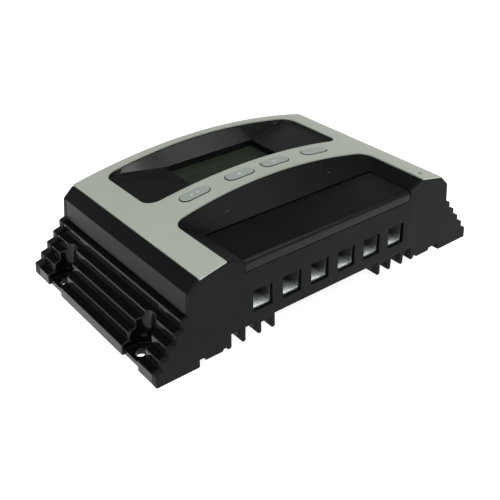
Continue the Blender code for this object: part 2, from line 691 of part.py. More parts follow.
def wire_terminal(number, x):
    """One terminal: a fixed contact bar, a cage that rises round it, and the screw that lifts the cage."""
    axis = (x, TERMINAL_Y, 0.0)
    cage = piece(box(around(x, CAGE_WIDTH / 2), CAGE_Y, CAGE_Z), f"clamp_cage_{number}", "nickel",
                 (axis[0], axis[1], CAGE_Z[0]))
    cut(cage, box(around(x, CAGE_WIDTH / 2 - 1.0), (-60.0, -30.0),
                  (CAGE_Z[0] + 1.2, CAGE_Z[1] - CAGE_TOP_THICK)))
    cut(cage, cylinder((x, TERMINAL_Y), 2.2, (25.0, 30.0)))

    back = CAGE_Y[1] + GAP
    bar = [(CAGE_Y[0] + 0.9, BAR_Z[0]), (back, BAR_Z[0]), (back, ON_BOARD), (back + 1.2, ON_BOARD),
           (back + 1.2, BAR_Z[1]), (CAGE_Y[0] + 0.9, BAR_Z[1])]
    low, high = around(x, BAR_WIDTH / 2)
    piece(extrude(bar, low, high, "X"), f"contact_bar_{number}", "tinned_copper")

    screw = piece(cylinder((x, TERMINAL_Y), 1.9, (SCREW_TIP_Z, SCREW_HEAD_Z[0] + 0.5)),
                  f"terminal_screw_{number}", "steel", (axis[0], axis[1], SCREW_HEAD_Z[1]))
    join(screw, cylinder((x, TERMINAL_Y), 3.2, SCREW_HEAD_Z))
    cut(screw, box(around(x, 4.0), around(TERMINAL_Y, 0.5), (SCREW_HEAD_Z[1] - 1.2, 40.0)))


# ---------------------------------------------------------------- the whole controller
heatsink_base()
front_panel()
rear_panel()
upper_housing()
face_plate()
terminal_cover()
display()
for order, place_x in enumerate(BUTTON_X, start=1):
    push_button(order, place_x)
    tact_switch(order, place_x)
status_lamp()
main_board()
housing_screws()
board_parts()
terminal_block()
for order, place_x in enumerate(terminal_places(), start=1):
    wire_terminal(order, place_x)
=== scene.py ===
"""Looks of the solar charge controller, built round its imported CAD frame.

Shapes are worked out in millimetres and written in metres. X runs along the long side, -Y is the
terminal side and +Z is up, as in the frame. Each visible piece replaces a plain CAD node with the same
shape, softened edges, finer detail and a procedural material.
"""
import math

import bmesh
import bpy
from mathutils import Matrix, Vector


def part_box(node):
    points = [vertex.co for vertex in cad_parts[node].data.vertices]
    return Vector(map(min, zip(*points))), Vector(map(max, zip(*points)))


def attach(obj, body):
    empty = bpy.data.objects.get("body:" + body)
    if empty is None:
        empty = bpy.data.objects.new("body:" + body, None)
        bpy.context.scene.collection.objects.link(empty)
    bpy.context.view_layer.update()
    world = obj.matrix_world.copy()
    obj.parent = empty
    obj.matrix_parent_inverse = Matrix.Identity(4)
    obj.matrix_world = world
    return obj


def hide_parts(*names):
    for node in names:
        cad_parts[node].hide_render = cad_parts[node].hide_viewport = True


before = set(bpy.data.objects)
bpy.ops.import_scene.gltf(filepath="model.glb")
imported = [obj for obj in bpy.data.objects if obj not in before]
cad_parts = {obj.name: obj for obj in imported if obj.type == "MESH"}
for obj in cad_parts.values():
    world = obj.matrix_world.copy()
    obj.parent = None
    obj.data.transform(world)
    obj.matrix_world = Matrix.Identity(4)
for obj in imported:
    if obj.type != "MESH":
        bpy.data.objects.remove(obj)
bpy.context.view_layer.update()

MM = 0.001
ROOT = "controller"
PAIRS = [(side, row) for side in (-1, 1) for row in (-1, 1)]

# ---------------------------------------------------------------- sizes, in millimetres
HALF_DEPTH = 53.5
HEIGHT = 49.05
ARCH_RADIUS = 309.0
FRONT_LEAN = 0.0496
BACK_LEAN = 0.0778

HALF_WIDTH = 94.0
FIRST_TIP = (79.05, 24.3)
STEP_RUN = 3.69
STEP_DROP = 4.75
STEP_COUNT = 5
LEDGE_FALL = 1.05
FACE_LEAN = 0.15
RIM = (76.7, 25.35)
WALL_TOP = (76.0, 35.4)
CHAMFER_TOP = (70.9, 40.5)

GROUP_X = -2.35               # the underside fins, display and buttons are centred here
MIDDLE_Z = 9.5
CUT_CORNER = 0.6
FIN_BLADES = [                # inner edge, outer edge, bottom, roof of the slot outside it
    (31.2, 33.4, 2.3, 7.6),
    (38.7, 40.8, 2.4, 9.0),
    (47.2, 49.3, 2.1, 8.8),
    (54.6, 57.0, 1.9, 3.2),
]
FLAT = (58.6, 68.4, 2.2)
NOTCH_Z = 3.6
FOOT_INNER = 73.0

PLATE_TOP = 12.0
SIDE_BLOCK_X = 68.0
FRONT_JOINT = -50.3
REAR_JOINT = 48.2
GAP = 0.3
JOINT_GAP = 0.15              # seen between the end panels and what they close
PANEL_PROUD = 0.35
TERMINAL_PROUD = 0.45
FACE_THICK = 0.8
FACE_EDGE = 70.5
HOUSING_DROP = FACE_THICK + GAP
WALL = 2.2

CHANNEL_Y = 33.3
CHANNEL_RADIUS = 5.9
CHANNEL_DEPTH_X = 81.2
CHANNEL_LENGTH = 30.0
CHANNEL_CORNER = 1.5          # plan radius of the fin ends beside a channel
FOOT_CORNER = 0.6             # the same on the foot, where the flange is cut back
FLANGE_TOP = 2.8
FLANGE_EDGE = 92.8
MOUNT_HOLE = (88.5, 33.3, 2.3)

WINDOW_X = 57.4
WINDOW_RADIUS = 6.5
UPPER_FRONT = 5.2
UPPER_REAR = 45.7
UPPER_BOW = 1.4
TRAY_Z = 42.5
DISPLAY_RIM_Z = 41.6
DISPLAY_X = (GROUP_X - 26.65, GROUP_X + 26.65)
DISPLAY_Y = (8.0, 36.2)
LOWER_FRONT = -62.0           # the lower window is open at the front
LOWER_REAR = -10.8
LOWER_BOW = 2.8
COVER_TOP = 40.3
COVER_SKIRT_Z = 35.4
COVER_RADIUS = 2.3            # front edge of the cover
COVER_SHIFT = (-0.2, -0.25, 0.0)  # the cover sits to the left and forward in its seat
CLIP_X = 30.0                 # the cover's two snap legs
CLIP_Y = -30.5
SEAT_X = 48.9
SEAT_REAR = -24.9
SEAT_Z = 38.0

ENTRY_SIZE = 10.2
ENTRY_Z = (14.85, 25.05)
ENTRY_REACH = 45.6            # no wire opening lies further out than this
POCKET = ((-46.8, 46.8), (-51.2, -45.0), (13.4, 33.5))  # the panel is thinner in front of the cages
TERMINAL_PITCH = 16.08
TEETH = 11                    # across the floor of a clamp cage
TOOTH_PITCH = 0.95
CAGE_SHADE_FADE = (0.35, 0.5, 1.0)  # how fast the painted shade on the cages deepens to the right, to the back and upward
BUTTON_LENGTH = 15.0
BUTTON_WIDTH = 6.1
BUTTON_SLOT = 0.45
BUTTON_PROUD = 0.3
BUTTON_RIM = 0.22
RIM_STEPS = 5
SCREW_HOLES = [(GROUP_X + side * 62.5, row * 36.0) for side, row in PAIRS]
LAMP = (62.5, -44.9)
LAMP_RADIUS = 0.9
LAMP_HOLE = 1.1
PAST_TOP = (30.0, 60.0)       # from below the housing's top to well above it, for openings
MAIN_CHIPS = [(x, y) for x in range(-36, 37, 6) for y in (-14, -9, 0)]
MAIN_CHIPS += [(x, y) for x in (2, 26) for y in (15, 20, 25)]
DISPLAY_CHIPS = [(x, -9) for x in range(-32, 31, 6)]

# how finely curves are drawn, and how edges are rounded
ARCH_STEPS = 72
CORNER_STEPS = 14             # a window's round corner
REAR_STEPS = 48               # a window's bowed rear edge
BASE_EDGE = 0.42
PANEL_EDGE = 0.34
HOUSING_EDGE = 0.14
PLATE_EDGE = 0.12
COVER_EDGE = 0.22
INNER_SHARE = 0.3             # an inside corner's share of the width on the base and end panels
SHARP = math.radians(33)      # edges sharper than this are rounded
CREASE = math.radians(12)     # the same for the housing, whose trays have shallow creases
STAY_SHARP = math.radians(46)  # edges still sharper than this after rounding stay sharp in shading

# the camera, fitted to the object's proportions
CAMERA_TARGET = (-24.96, -25.13, 23.70)
CAMERA_DISTANCE = 346.74
CAMERA_AZIMUTH = -38.577
CAMERA_ELEVATION = 31.577
CAMERA_LENS = 56.10
CAMERA_SENSOR = 36.0

# the studio: radiance at the horizon and in the sky, and where one fades to the other (sine of height)
HORIZON_LIGHT = 1.0
SKY_LIGHT = 0.05
HORIZON_FADE = (0.12, 0.36)
FLOOR_GLOW = 0.90             # keeps the floor white right up to the object
FLOOR_REACH = 6000.0

DARK_PLASTIC = (0.0030, 0.0032, 0.0032)
PALE_PLASTIC = (0.0040, 0.0043, 0.0043)

# sockets of a colour Mix node
MIX_FIRST = 6
MIX_SECOND = 7
MIX_RESULT = 2


# ---------------------------------------------------------------- materials
def add_node(tree, kind, inputs, **settings):
    """A new node. Each of its inputs, by name or number, is a value or another node's output."""
    node = tree.nodes.new(kind)
    for name, value in settings.items():
        setattr(node, name, value)
    for key, value in inputs.items():
        if isinstance(value, bpy.types.NodeSocket):
            tree.links.new(value, node.inputs[key])
        else:
            node.inputs[key].default_value = value
    return node


class Surface:
    """A Principled material with its colour, roughness and bump built from procedural textures."""

    def __init__(self, name, roughness=0.5, metallic=0.0, specular=0.5, coat=0.0, coat_roughness=0.1):
        self.material = bpy.data.materials.new(name)
        self.material.use_nodes = True
        self.tree = self.material.node_tree
        self.shader = self.tree.nodes["Principled BSDF"]
        self.shader.inputs["Roughness"].default_value = roughness
        self.shader.inputs["Metallic"].default_value = metallic
        self.shader.inputs["Specular IOR Level"].default_value = specular
        self.shader.inputs["Coat Weight"].default_value = coat
        self.shader.inputs["Coat Roughness"].default_value = coat_roughness
        self.place = self.add("ShaderNodeTexCoord", {}).outputs["Object"]
        self.normal = None

    def add(self, kind, inputs, **settings):
        return add_node(self.tree, kind, inputs, **settings)

    def split(self):
        return self.add("ShaderNodeSeparateXYZ", {"Vector": self.place}).outputs

    def noise(self, scale, detail=2.0, stretch=(1.0, 1.0, 1.0)):
        """A grey noise from 0 to 1; scale is in features a metre, stretched along an axis by a low number."""
        mapping = self.add("ShaderNodeMapping", {"Vector": self.place, "Scale": stretch})
        inputs = {"Vector": mapping.outputs["Vector"], "Scale": scale, "Detail": detail}
        return self.add("ShaderNodeTexNoise", inputs).outputs["Fac"]

    def cells(self, scale, feature="F1"):
        inputs = {"Vector": self.place, "Scale": scale}
        return self.add("ShaderNodeTexVoronoi", inputs, feature=feature).outputs["Distance"]

    def spread(self, source, low=0.0, high=1.0, start=0.3, end=0.7):
        """Map a grey texture to a range of values."""
        inputs = {"Value": source, "From Min": start, "From Max": end, "To Min": low, "To Max": high}
        return self.add("ShaderNodeMapRange", inputs).outputs["Result"]

    def blend(self, factor, *colors):
        """Mix two colours by a grey texture; each is a colour or another node's output."""
        first, second = ((*color, 1.0) if isinstance(color, tuple) else color for color in colors)
        inputs = {"Factor": factor, MIX_FIRST: first, MIX_SECOND: second}
        return self.add("ShaderNodeMix", inputs, data_type="RGBA").outputs[MIX_RESULT]

    def color(self, source):
        self.tree.links.new(source, self.shader.inputs["Base Color"])

    def roughness(self, source):
        self.tree.links.new(source, self.shader.inputs["Roughness"])

    def bump(self, source, height_mm, strength=1.0):
        """Raise the surface by a texture, on top of any bump that it has already."""
        inputs = {"Strength": strength, "Distance": height_mm * MM, "Height": source}
        if self.normal is not None:
            inputs["Normal"] = self.normal
        self.normal = self.add("ShaderNodeBump", inputs).outputs["Normal"]
        self.tree.links.new(self.normal, self.shader.inputs["Normal"])
        return self


def moulded_plastic(name, roughness, specular, dark=DARK_PLASTIC, light=PALE_PLASTIC):
    """Moulded plastic with a fine spark-eroded grain and slight clouding."""
    surface = Surface(name, specular=specular)
    clouds = surface.spread(surface.noise(45.0, 4.0))
    specks = surface.spread(surface.noise(3600.0))
    surface.color(surface.blend(clouds, dark, light))
    surface.roughness(surface.spread(specks, roughness - 0.05, roughness + 0.06, 0.0, 1.0))
    return surface.bump(specks, 0.003, 0.5).material


def anodised_aluminium(name):
    """Black anodised extrusion: fine die lines along the fins and a soft bloom."""
    surface = Surface(name, specular=0.19)
    lines = surface.noise(2600.0, 2.0, (1.0, 0.02, 1.0))
    bloom = surface.spread(surface.noise(60.0, 5.0))
    surface.color(surface.blend(bloom, (0.0020, 0.0020, 0.0021), (0.0030, 0.0030, 0.0031)))
    surface.roughness(surface.spread(lines, 0.13, 0.16))
    return surface.bump(lines, 0.0006, 0.2).material


def silver_paint(name):
    """Satin silver-grey paint with a slight green cast: flake, fine orange peel and faint clouding."""
    surface = Surface(name, metallic=0.10, specular=0.32)
    clouds = surface.spread(surface.noise(22.0, 3.0))
    flakes = surface.spread(surface.noise(6500.0, 1.0), 0.0, 1.0, 0.35, 0.65)
    base = surface.blend(clouds, (0.315, 0.343, 0.292), (0.335, 0.363, 0.311))
    bright = surface.blend(clouds, (0.350, 0.378, 0.327), (0.370, 0.398, 0.346))
    surface.color(surface.blend(flakes, base, bright))
    surface.roughness(surface.spread(flakes, 0.40, 0.50, 0.0, 1.0))
    surface.bump(surface.noise(900.0), 0.010, 0.35)
    return surface.bump(flakes, 0.004, 0.3).material


def button_plastic(name):
    """Satin grey caps with a fine grain."""
    surface = Surface(name, specular=0.35)
    clouds = surface.spread(surface.noise(120.0, 3.0))
    grain = surface.noise(4200.0)
    surface.color(surface.blend(clouds, (0.238, 0.272, 0.246), (0.266, 0.300, 0.273)))
    surface.roughness(surface.spread(grain, 0.34, 0.46))
    return surface.bump(grain, 0.008, 0.4).material


def sign_ink(name, color):
    """Printed ink, a little worn in fine specks."""
    surface = Surface(name, specular=0.3)
    grain = surface.noise(5000.0)
    faded = tuple(0.8 * part for part in color)
    surface.color(surface.blend(surface.spread(grain), faded, color))
    surface.roughness(surface.spread(grain, 0.45, 0.6))
    return surface.bump(grain, 0.004, 0.3).material


def display_glass(name):
    """An unlit display: olive-grey film under polished glass, with a faint pixel grain."""
    surface = Surface(name, specular=0.4, coat=0.3, coat_roughness=0.12)
    film = surface.spread(surface.noise(30.0, 3.0))
    pixels = surface.spread(surface.cells(2500.0), 0.0, 1.0, 0.0, 0.6)
    base = surface.blend(film, (0.0105, 0.0150, 0.0085), (0.0135, 0.0190, 0.0112))
    surface.color(surface.blend(pixels, base, (0.0150, 0.0208, 0.0125)))
    surface.roughness(surface.spread(film, 0.30, 0.38, 0.0, 1.0))
    return surface.bump(surface.noise(200.0, 1.0), 0.004, 0.2).material


def plated_metal(name, dark, light, roughness, stretch):
    """Bright plating with fine scratches that run the long way of the stretch, and dull patches."""
    surface = Surface(name, metallic=1.0)
    patches = surface.spread(surface.noise(260.0, 4.0))
    scratches = surface.noise(2400.0, 3.0, stretch)
    surface.color(surface.blend(patches, dark, light))
    surface.roughness(surface.spread(scratches, roughness - 0.05, roughness + 0.08))
    return surface.bump(scratches, 0.003, 0.3).material


def nickel_with_painted_light(name, bright, dull):
    """Nickel plate with painted light: a painted highlight at the left of a cage's mouth and floor,
    fading into painted shade to the right, back and top.

    bright and dull are the ends of that fade along CAGE_SHADE_FADE, in metres: the painted highlight is full
    at bright and the painted shade at dull. Each cage has the same fade.
    """
    surface = Surface(name, metallic=1.0)
    x, y, z = surface.split()
    wrap = surface.add("ShaderNodeMath", {0: x, 1: TERMINAL_PITCH * MM, 2: 0.0}, operation="WRAP")
    local = surface.add("ShaderNodeCombineXYZ", {"X": wrap.outputs["Value"], "Y": y, "Z": z})
    inputs = {0: local.outputs["Vector"], 1: CAGE_SHADE_FADE}
    depth = surface.add("ShaderNodeVectorMath", inputs, operation="DOT_PRODUCT").outputs["Value"]
    shade = surface.spread(depth, 0.0, 1.0, bright, dull)
    patches = surface.spread(surface.noise(260.0, 4.0))
    scratches = surface.noise(2400.0, 3.0, (1.0, 0.05, 1.0))
    # The bright plate colour is a painted highlight, and the dark grey it fades to is painted shade.
    lit_plate = surface.blend(patches, (0.84, 0.89, 0.89), (0.90, 0.96, 0.96))
    surface.color(surface.blend(shade, lit_plate, (0.15, 0.155, 0.155)))
    surface.roughness(surface.spread(scratches, 0.52, 0.62))
    return surface.bump(scratches, 0.001, 0.3).material


def circuit_board(name):
    """Green solder mask with raised tracks, plated dots and a faint weave."""
    surface = Surface(name)
    tracks = surface.spread(surface.cells(260.0, "DISTANCE_TO_EDGE"), 1.0, 0.0, 0.02, 0.06)
    weave = surface.noise(1800.0)
    pads = surface.spread(surface.cells(330.0), 1.0, 0.0, 0.14, 0.18)
    mask = surface.blend(tracks, (0.010, 0.070, 0.028), (0.016, 0.125, 0.050))
    surface.color(surface.blend(pads, mask, (0.45, 0.40, 0.28)))
    surface.roughness(surface.spread(weave, 0.30, 0.46))
    surface.bump(tracks, 0.03, 0.6)
    return surface.bump(weave, 0.01, 0.3).material


def sleeve_and_top(name, top_z):
    """A capacitor: dark blue sleeve with a pale stripe, and a bare aluminium top above top_z metres."""
    surface = Surface(name)
    _, y, z = surface.split()
    grain = surface.noise(900.0, 3.0)
    top = surface.spread(z, 0.0, 1.0, top_z - 0.00002, top_z)
    stripe = surface.spread(y, 1.0, 0.0, 0.0045, 0.0050)
    sleeve = surface.blend(surface.spread(grain), (0.008, 0.011, 0.030), (0.014, 0.018, 0.042))
    striped = surface.blend(stripe, sleeve, (0.30, 0.33, 0.36))
    surface.color(surface.blend(top, striped, (0.62, 0.62, 0.63)))
    surface.tree.links.new(top, surface.shader.inputs["Metallic"])
    surface.roughness(surface.spread(grain, 0.26, 0.42))
    return surface.bump(grain, 0.01, 0.4).material


def tinted_plastic(name, dark, light, roughness, transmission):
    surface = Surface(name)
    surface.shader.inputs["Transmission Weight"].default_value = transmission
    clouds = surface.spread(surface.noise(300.0, 3.0))
    surface.color(surface.blend(clouds, dark, light))
    surface.roughness(surface.spread(clouds, roughness - 0.04, roughness + 0.06, 0.0, 1.0))
    return surface.bump(surface.noise(1500.0), 0.006, 0.3).material


MATERIALS = {
    "base": anodised_aluminium("black_anodised"),
    "panel": moulded_plastic("panel_plastic", 0.38, 0.035, (0.0095, 0.0103, 0.0103), (0.012, 0.013, 0.013)),
    "housing": moulded_plastic("housing_plastic", 0.36, 0.13),
    "tray": moulded_plastic("tray_plastic", 0.27, 0.42),
    "cover": moulded_plastic("cover_plastic", 0.34, 0.20),
    "moulded": moulded_plastic("moulding_compound", 0.45, 0.4, (0.010, 0.010, 0.011), (0.016, 0.016, 0.017)),
    # Walls inside the wire openings: a far darker copy of the panel plastic, painted shade for the deep
    # openings.
    "hollow": moulded_plastic("opening_walls_painted_shade", 0.75, 0.06, (0.0016,) * 3, (0.0022,) * 3),
    "frame": moulded_plastic("white_frame", 0.50, 0.4, (0.58, 0.58, 0.56), (0.68, 0.68, 0.65)),
    "silver": silver_paint("silver_paint"),
    "button": button_plastic("button_grey"),
    "sign": sign_ink("pale_sign", (0.46, 0.50, 0.48)),
    "mark": sign_ink("grey_mark", (0.026, 0.028, 0.027)),
    "display": display_glass("display_glass"),
    # Nickel for the clamp cages, with a painted highlight at each cage's mouth that fades into painted shade.
    "nickel": nickel_with_painted_light("nickel_painted_light", -0.0084, -0.0020),
    "tin": plated_metal("tin_plate", (0.52, 0.51, 0.48), (0.66, 0.65, 0.62), 0.32, (1.0, 0.08, 1.0)),
    "zinc": plated_metal("zinc_plate", (0.42, 0.42, 0.43), (0.58, 0.58, 0.60), 0.30, (1.0, 1.0, 0.3)),
    "board": circuit_board("circuit_board"),
    "capacitor": sleeve_and_top("capacitor_sleeve", 0.02996),
    "fuse": tinted_plastic("fuse_yellow", (0.62, 0.34, 0.02), (0.80, 0.50, 0.05), 0.20, 0.35),
    "lamp": tinted_plastic("lamp_green", (0.030, 0.040, 0.030), (0.045, 0.060, 0.045), 0.22, 0.10),
}


# ---------------------------------------------------------------- mesh helpers
def arch(x):
    return HEIGHT - ARCH_RADIUS + math.sqrt(ARCH_RADIUS ** 2 - x ** 2)


def front_face(z):
    return -HALF_DEPTH + FRONT_LEAN * z


def back_face(z):
    return HALF_DEPTH - BACK_LEAN * z


def around(x, half):
    return (x - half, x + half)


def grown(span, amount):
    return (span[0] - amount, span[1] + amount)


def across(side, low, high):
    """The range from low to high on the right, side 1, or mirrored to the left, side -1."""
    return tuple(sorted((side * low, side * high)))


def mirrored(points):
    return [(-x, z) for x, z in reversed(points)]


def arc(center, radius, start, end, steps):
    """Points along an arc between two angles in degrees, with both ends."""
    angles = [math.radians(start + (end - start) * step / steps) for step in range(steps + 1)]
    return [(center[0] + radius * math.cos(angle), center[1] + radius * math.sin(angle)) for angle in angles]


def numbered(stem, count):
    return [f"{stem}_{number}" for number in range(1, count + 1)]


def corners_mm(node):
    return [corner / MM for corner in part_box(node)]


def node_ranges(node):
    """The box of a CAD node in millimetres, as three (low, high) ranges."""
    return list(zip(*corners_mm(node)))


def center_mm(node):
    low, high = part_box(node)
    return (low + high) / 2 / MM


def middles(stem, count):
    return [center_mm(node) for node in numbered(stem, count)]


def extrude(outline, low, high, axis):
    """Extrude a flat outline: (x, z) along Y, (y, z) along X, (x, y) along Z."""
    def place(point, distance):
        a, b = point
        return {"X": (distance, a, b), "Y": (a, distance, b), "Z": (a, b, distance)}[axis]

    bm = bmesh.new()
    start = bm.faces.new([bm.verts.new(place(point, low)) for point in outline])
    extruded = bmesh.ops.extrude_face_region(bm, geom=[start])["geom"]
    moved = [item for item in extruded if isinstance(item, bmesh.types.BMVert)]
    bmesh.ops.translate(bm, verts=moved, vec=place((0.0, 0.0), high - low))
    bmesh.ops.recalc_face_normals(bm, faces=bm.faces)
    return bm


def skin(loops):
    """Skin a stack of loops that have equal counts of points, and cap both ends."""
    bm = bmesh.new()
    rings = [[bm.verts.new(point) for point in loop] for loop in loops]
    count = len(rings[0])
    for lower, upper in zip(rings, rings[1:]):
        for index in range(count):
            after = (index + 1) % count
            bm.faces.new((lower[index], lower[after], upper[after], upper[index]))
    bm.faces.new(list(reversed(rings[0])))
    bm.faces.new(rings[-1])
    bmesh.ops.triangulate(bm, faces=[face for face in bm.faces if len(face.verts) == 4])
    bmesh.ops.recalc_face_normals(bm, faces=bm.faces)
    return bm


def block(x, y, z):
    """A box from three (low, high) ranges."""
    return extrude([(x[0], y[0]), (x[1], y[0]), (x[1], y[1]), (x[0], y[1])], z[0], z[1], "Z")


def disc(center, radius, z, sides=40):
    return extrude(arc(center, radius, 0, 360, sides)[:-1], z[0], z[1], "Z")


def turned(center, profile, sides):
    """A solid of revolution about Z, from (radius, z) points that start and end on the axis."""
    bm = bmesh.new()
    rings = [[bm.verts.new((x, y, z)) for x, y in arc(center, radius, 0, 360, sides)[:-1]]
             for radius, z in profile]
    for lower, upper in zip(rings, rings[1:]):
        for step in range(sides):
            bm.faces.new((lower[step - 1], lower[step], upper[step], upper[step - 1]))
    bmesh.ops.remove_doubles(bm, verts=bm.verts, dist=0.0001)
    bmesh.ops.recalc_face_normals(bm, faces=bm.faces)
    return bm


def capsule(center, length, width):
    """Outline of a slot with round ends, lying along X."""
    reach = (length - width) / 2
    right = arc((center[0] + reach, center[1]), width / 2, -90, 90, 20)
    left = arc((center[0] - reach, center[1]), width / 2, 90, 270, 20)
    return right + left


def rounded_box(x, z, radius, steps=6):
    """Outline of a rectangle with round corners."""
    (left, right), (low, high) = grown(x, -radius), grown(z, -radius)
    points = []
    for turn, middle in enumerate(((right, high), (left, high), (left, low), (right, low))):
        points += arc(middle, radius, 90 * turn, 90 * turn + 90, steps)
    return points


def merge(*shapes):
    """Several shapes that don't touch, as one."""
    whole = bmesh.new()
    for bm in shapes:
        mesh = bpy.data.meshes.new("merge")
        bm.to_mesh(mesh)
        bm.free()
        whole.from_mesh(mesh)
        bpy.data.meshes.remove(mesh)
    return whole


def discs(spots, radius, z, sides=40):
    return merge(*(disc(spot, radius, z, sides) for spot in spots))


def to_object(bm, name):
    bmesh.ops.scale(bm, verts=bm.verts, vec=(MM, MM, MM))
    mesh = bpy.data.meshes.new(name)
    bm.to_mesh(mesh)
    bm.free()
    obj = bpy.data.objects.new(name, mesh)
    bpy.context.scene.collection.objects.link(obj)
    return obj


def apply_modifiers(obj):
    graph = bpy.context.evaluated_depsgraph_get()
    mesh = bpy.data.meshes.new_from_object(obj.evaluated_get(graph))
    obj.modifiers.clear()
    old = obj.data
    obj.data = mesh
    bpy.data.meshes.remove(old)


def combine(obj, operation, *shapes):
    """Cut shapes from a piece or join them to it, one after another, and keep the result as its mesh."""
    tools = [to_object(bm, "tool") for bm in shapes]
    for other in tools:
        step = obj.modifiers.new("step", "BOOLEAN")
        step.operation = operation
        step.solver = "EXACT"
        step.object = other
    apply_modifiers(obj)
    for other in tools:
        bpy.data.objects.remove(other, do_unlink=True)


def clean(obj):
    """Merge stray points and drop edges that lie inside flat faces."""
    bm = bmesh.new()
    bm.from_mesh(obj.data)
    bmesh.ops.remove_doubles(bm, verts=bm.verts, dist=0.004 * MM)
    bmesh.ops.dissolve_degenerate(bm, edges=bm.edges, dist=0.002 * MM)
    bmesh.ops.dissolve_limit(bm, angle_limit=math.radians(0.06), verts=bm.verts, edges=bm.edges)
    bmesh.ops.delete(bm, geom=[edge for edge in bm.edges if not edge.link_faces], context="EDGES")
    bm.to_mesh(obj.data)
    bm.free()


def shade(obj, angle):
    obj.data.shade_smooth()
    obj.data.set_sharp_from_angle(angle=angle)


def soften(obj, width, segments=2, angle=SHARP, hollow=1.0, skip=None):
    """Round edges sharper than an angle by a width in millimetres, and keep flat faces flat in shading.

    Edges in an inside corner are rounded by the share hollow of that width. Edges where skip(a, b) is true
    for the two ends, in millimetres, stay sharp.
    """
    bm = bmesh.new()
    bm.from_mesh(obj.data)
    weights = bm.edges.layers.float.new("bevel_weight_edge")
    for edge in bm.edges:
        if not edge.is_manifold or edge.calc_face_angle(0.0) < angle:
            continue
        if skip and skip(*(vert.co / MM for vert in edge.verts)):
            continue
        edge[weights] = 1.0 if edge.is_convex else hollow
    bm.to_mesh(obj.data)
    bm.free()
    bevel = obj.modifiers.new("soften", "BEVEL")
    bevel.width = width * MM
    bevel.segments = segments
    bevel.limit_method = "WEIGHT"
    bevel.use_clamp_overlap = False
    apply_modifiers(obj)
    shade(obj, STAY_SHARP)
    weigh = obj.modifiers.new("weigh", "WEIGHTED_NORMAL")
    weigh.keep_sharp = True
    apply_modifiers(obj)


def at_joint(a, b):
    """True where an edge lies in the plane between the heat sink or housing and an end panel."""
    planes = (FRONT_JOINT, FRONT_JOINT + JOINT_GAP, REAR_JOINT - JOINT_GAP, REAR_JOINT)
    return any(abs(a.y - plane) < 0.02 and abs(b.y - plane) < 0.02 for plane in planes)


def finish_piece(obj, name, material, slot, *nodes, body=ROOT):
    obj.name = name
    obj.data.name = name
    obj.data.materials.clear()
    obj.data.materials.append(MATERIALS[material])
    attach(obj, body)
    if nodes:
        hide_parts(*nodes)
    return obj


def build(first, name, material, slot, node, joins=(), cuts=(), body=ROOT, edge=None, **softening):
    """A piece that replaces a node, from a first shape: others are joined to it, then others cut from it."""
    obj = to_object(first, name)
    if joins:
        combine(obj, "UNION", *joins)
    if cuts:
        combine(obj, "DIFFERENCE", *cuts)
    clean(obj)
    if edge is None:
        shade(obj, SHARP)
    else:
        soften(obj, edge, **softening)
    return finish_piece(obj, name, material, slot, node, body=body)


def recolour(obj, material, test):
    """Give the faces that pass a test another material."""
    obj.data.materials.append(MATERIALS[material])
    for face in obj.data.polygons:
        if test(face):
            face.material_index = len(obj.data.materials) - 1


def slice_at(bm, point, normal):
    geometry = list(bm.verts) + list(bm.edges) + list(bm.faces)
    bmesh.ops.bisect_plane(bm, geom=geometry, dist=0.0001, plane_co=point, plane_no=normal)


# ---------------------------------------------------------------- outlines
def side_steps(proud):
    """Right side of the fins from the foot up to the rim; proud lifts the ledges and fin faces."""
    points = [(HALF_WIDTH, 0.0)]
    for step in reversed(range(STEP_COUNT)):
        tip_x = FIRST_TIP[0] + STEP_RUN * step
        tip_z = FIRST_TIP[1] - STEP_DROP * step
        out = 0.0 if step == STEP_COUNT - 1 else proud
        points.append((tip_x + out, tip_z + proud))
        if step > 0:
            points.append((tip_x - STEP_RUN + FACE_LEAN + proud, tip_z + LEDGE_FALL + proud))
    points.append((RIM[0], RIM[1] + proud))
    return points


def underside():
    """Bottom outline from the left foot to the right foot: feet, notches, flats and fin blades."""
    half = [(0.0, MIDDLE_Z)]
    roof = MIDDLE_Z
    for inner, outer, bottom, next_roof in FIN_BLADES:
        half += [(inner, roof), (inner, bottom + CUT_CORNER), (inner + CUT_CORNER, bottom),
                 (outer - CUT_CORNER, bottom), (outer, bottom + CUT_CORNER), (outer, next_roof)]
        roof = next_roof
    inner, outer, bottom = FLAT
    half += [(inner, roof), (inner + CUT_CORNER, bottom), (outer - CUT_CORNER, bottom), (outer, NOTCH_Z)]
    foot = [(FOOT_INNER, NOTCH_Z), (FOOT_INNER, CUT_CORNER), (FOOT_INNER + CUT_CORNER, 0.0)]
    right = [(GROUP_X + x, z) for x, z in half] + foot
    left = [(GROUP_X - x, z) for x, z in half] + [(-x, z) for x, z in foot]
    return list(reversed(left))[:-1] + right[1:]


def arch_points(low, high, drop, steps=ARCH_STEPS):
    span = high - low
    return [(low + span * step / steps, arch(low + span * step / steps) - drop) for step in range(steps + 1)]


def panel_outline(top):
    right = side_steps(PANEL_PROUD) + [WALL_TOP, CHAMFER_TOP]
    return underside() + right + top + mirrored(right)


def window_outline(front, rear):
    """A window with round corners; rear(x) is its rear edge, drawn with points along it."""
    inner = WINDOW_X - WINDOW_RADIUS
    low = front + WINDOW_RADIUS
    high = rear(inner) - WINDOW_RADIUS
    along = [inner - 2 * inner * step / REAR_STEPS for step in range(1, REAR_STEPS)]
    return (arc((-inner, low), WINDOW_RADIUS, 180, 270, CORNER_STEPS)
            + arc((inner, low), WINDOW_RADIUS, -90, 0, CORNER_STEPS)
            + arc((inner, high), WINDOW_RADIUS, 0, 90, CORNER_STEPS)
            + [(x, rear(x)) for x in along]
            + arc((-inner, high), WINDOW_RADIUS, 90, 180, CORNER_STEPS))


def upper_rear(x):
    return UPPER_REAR - UPPER_BOW * (x / WINDOW_X) ** 2


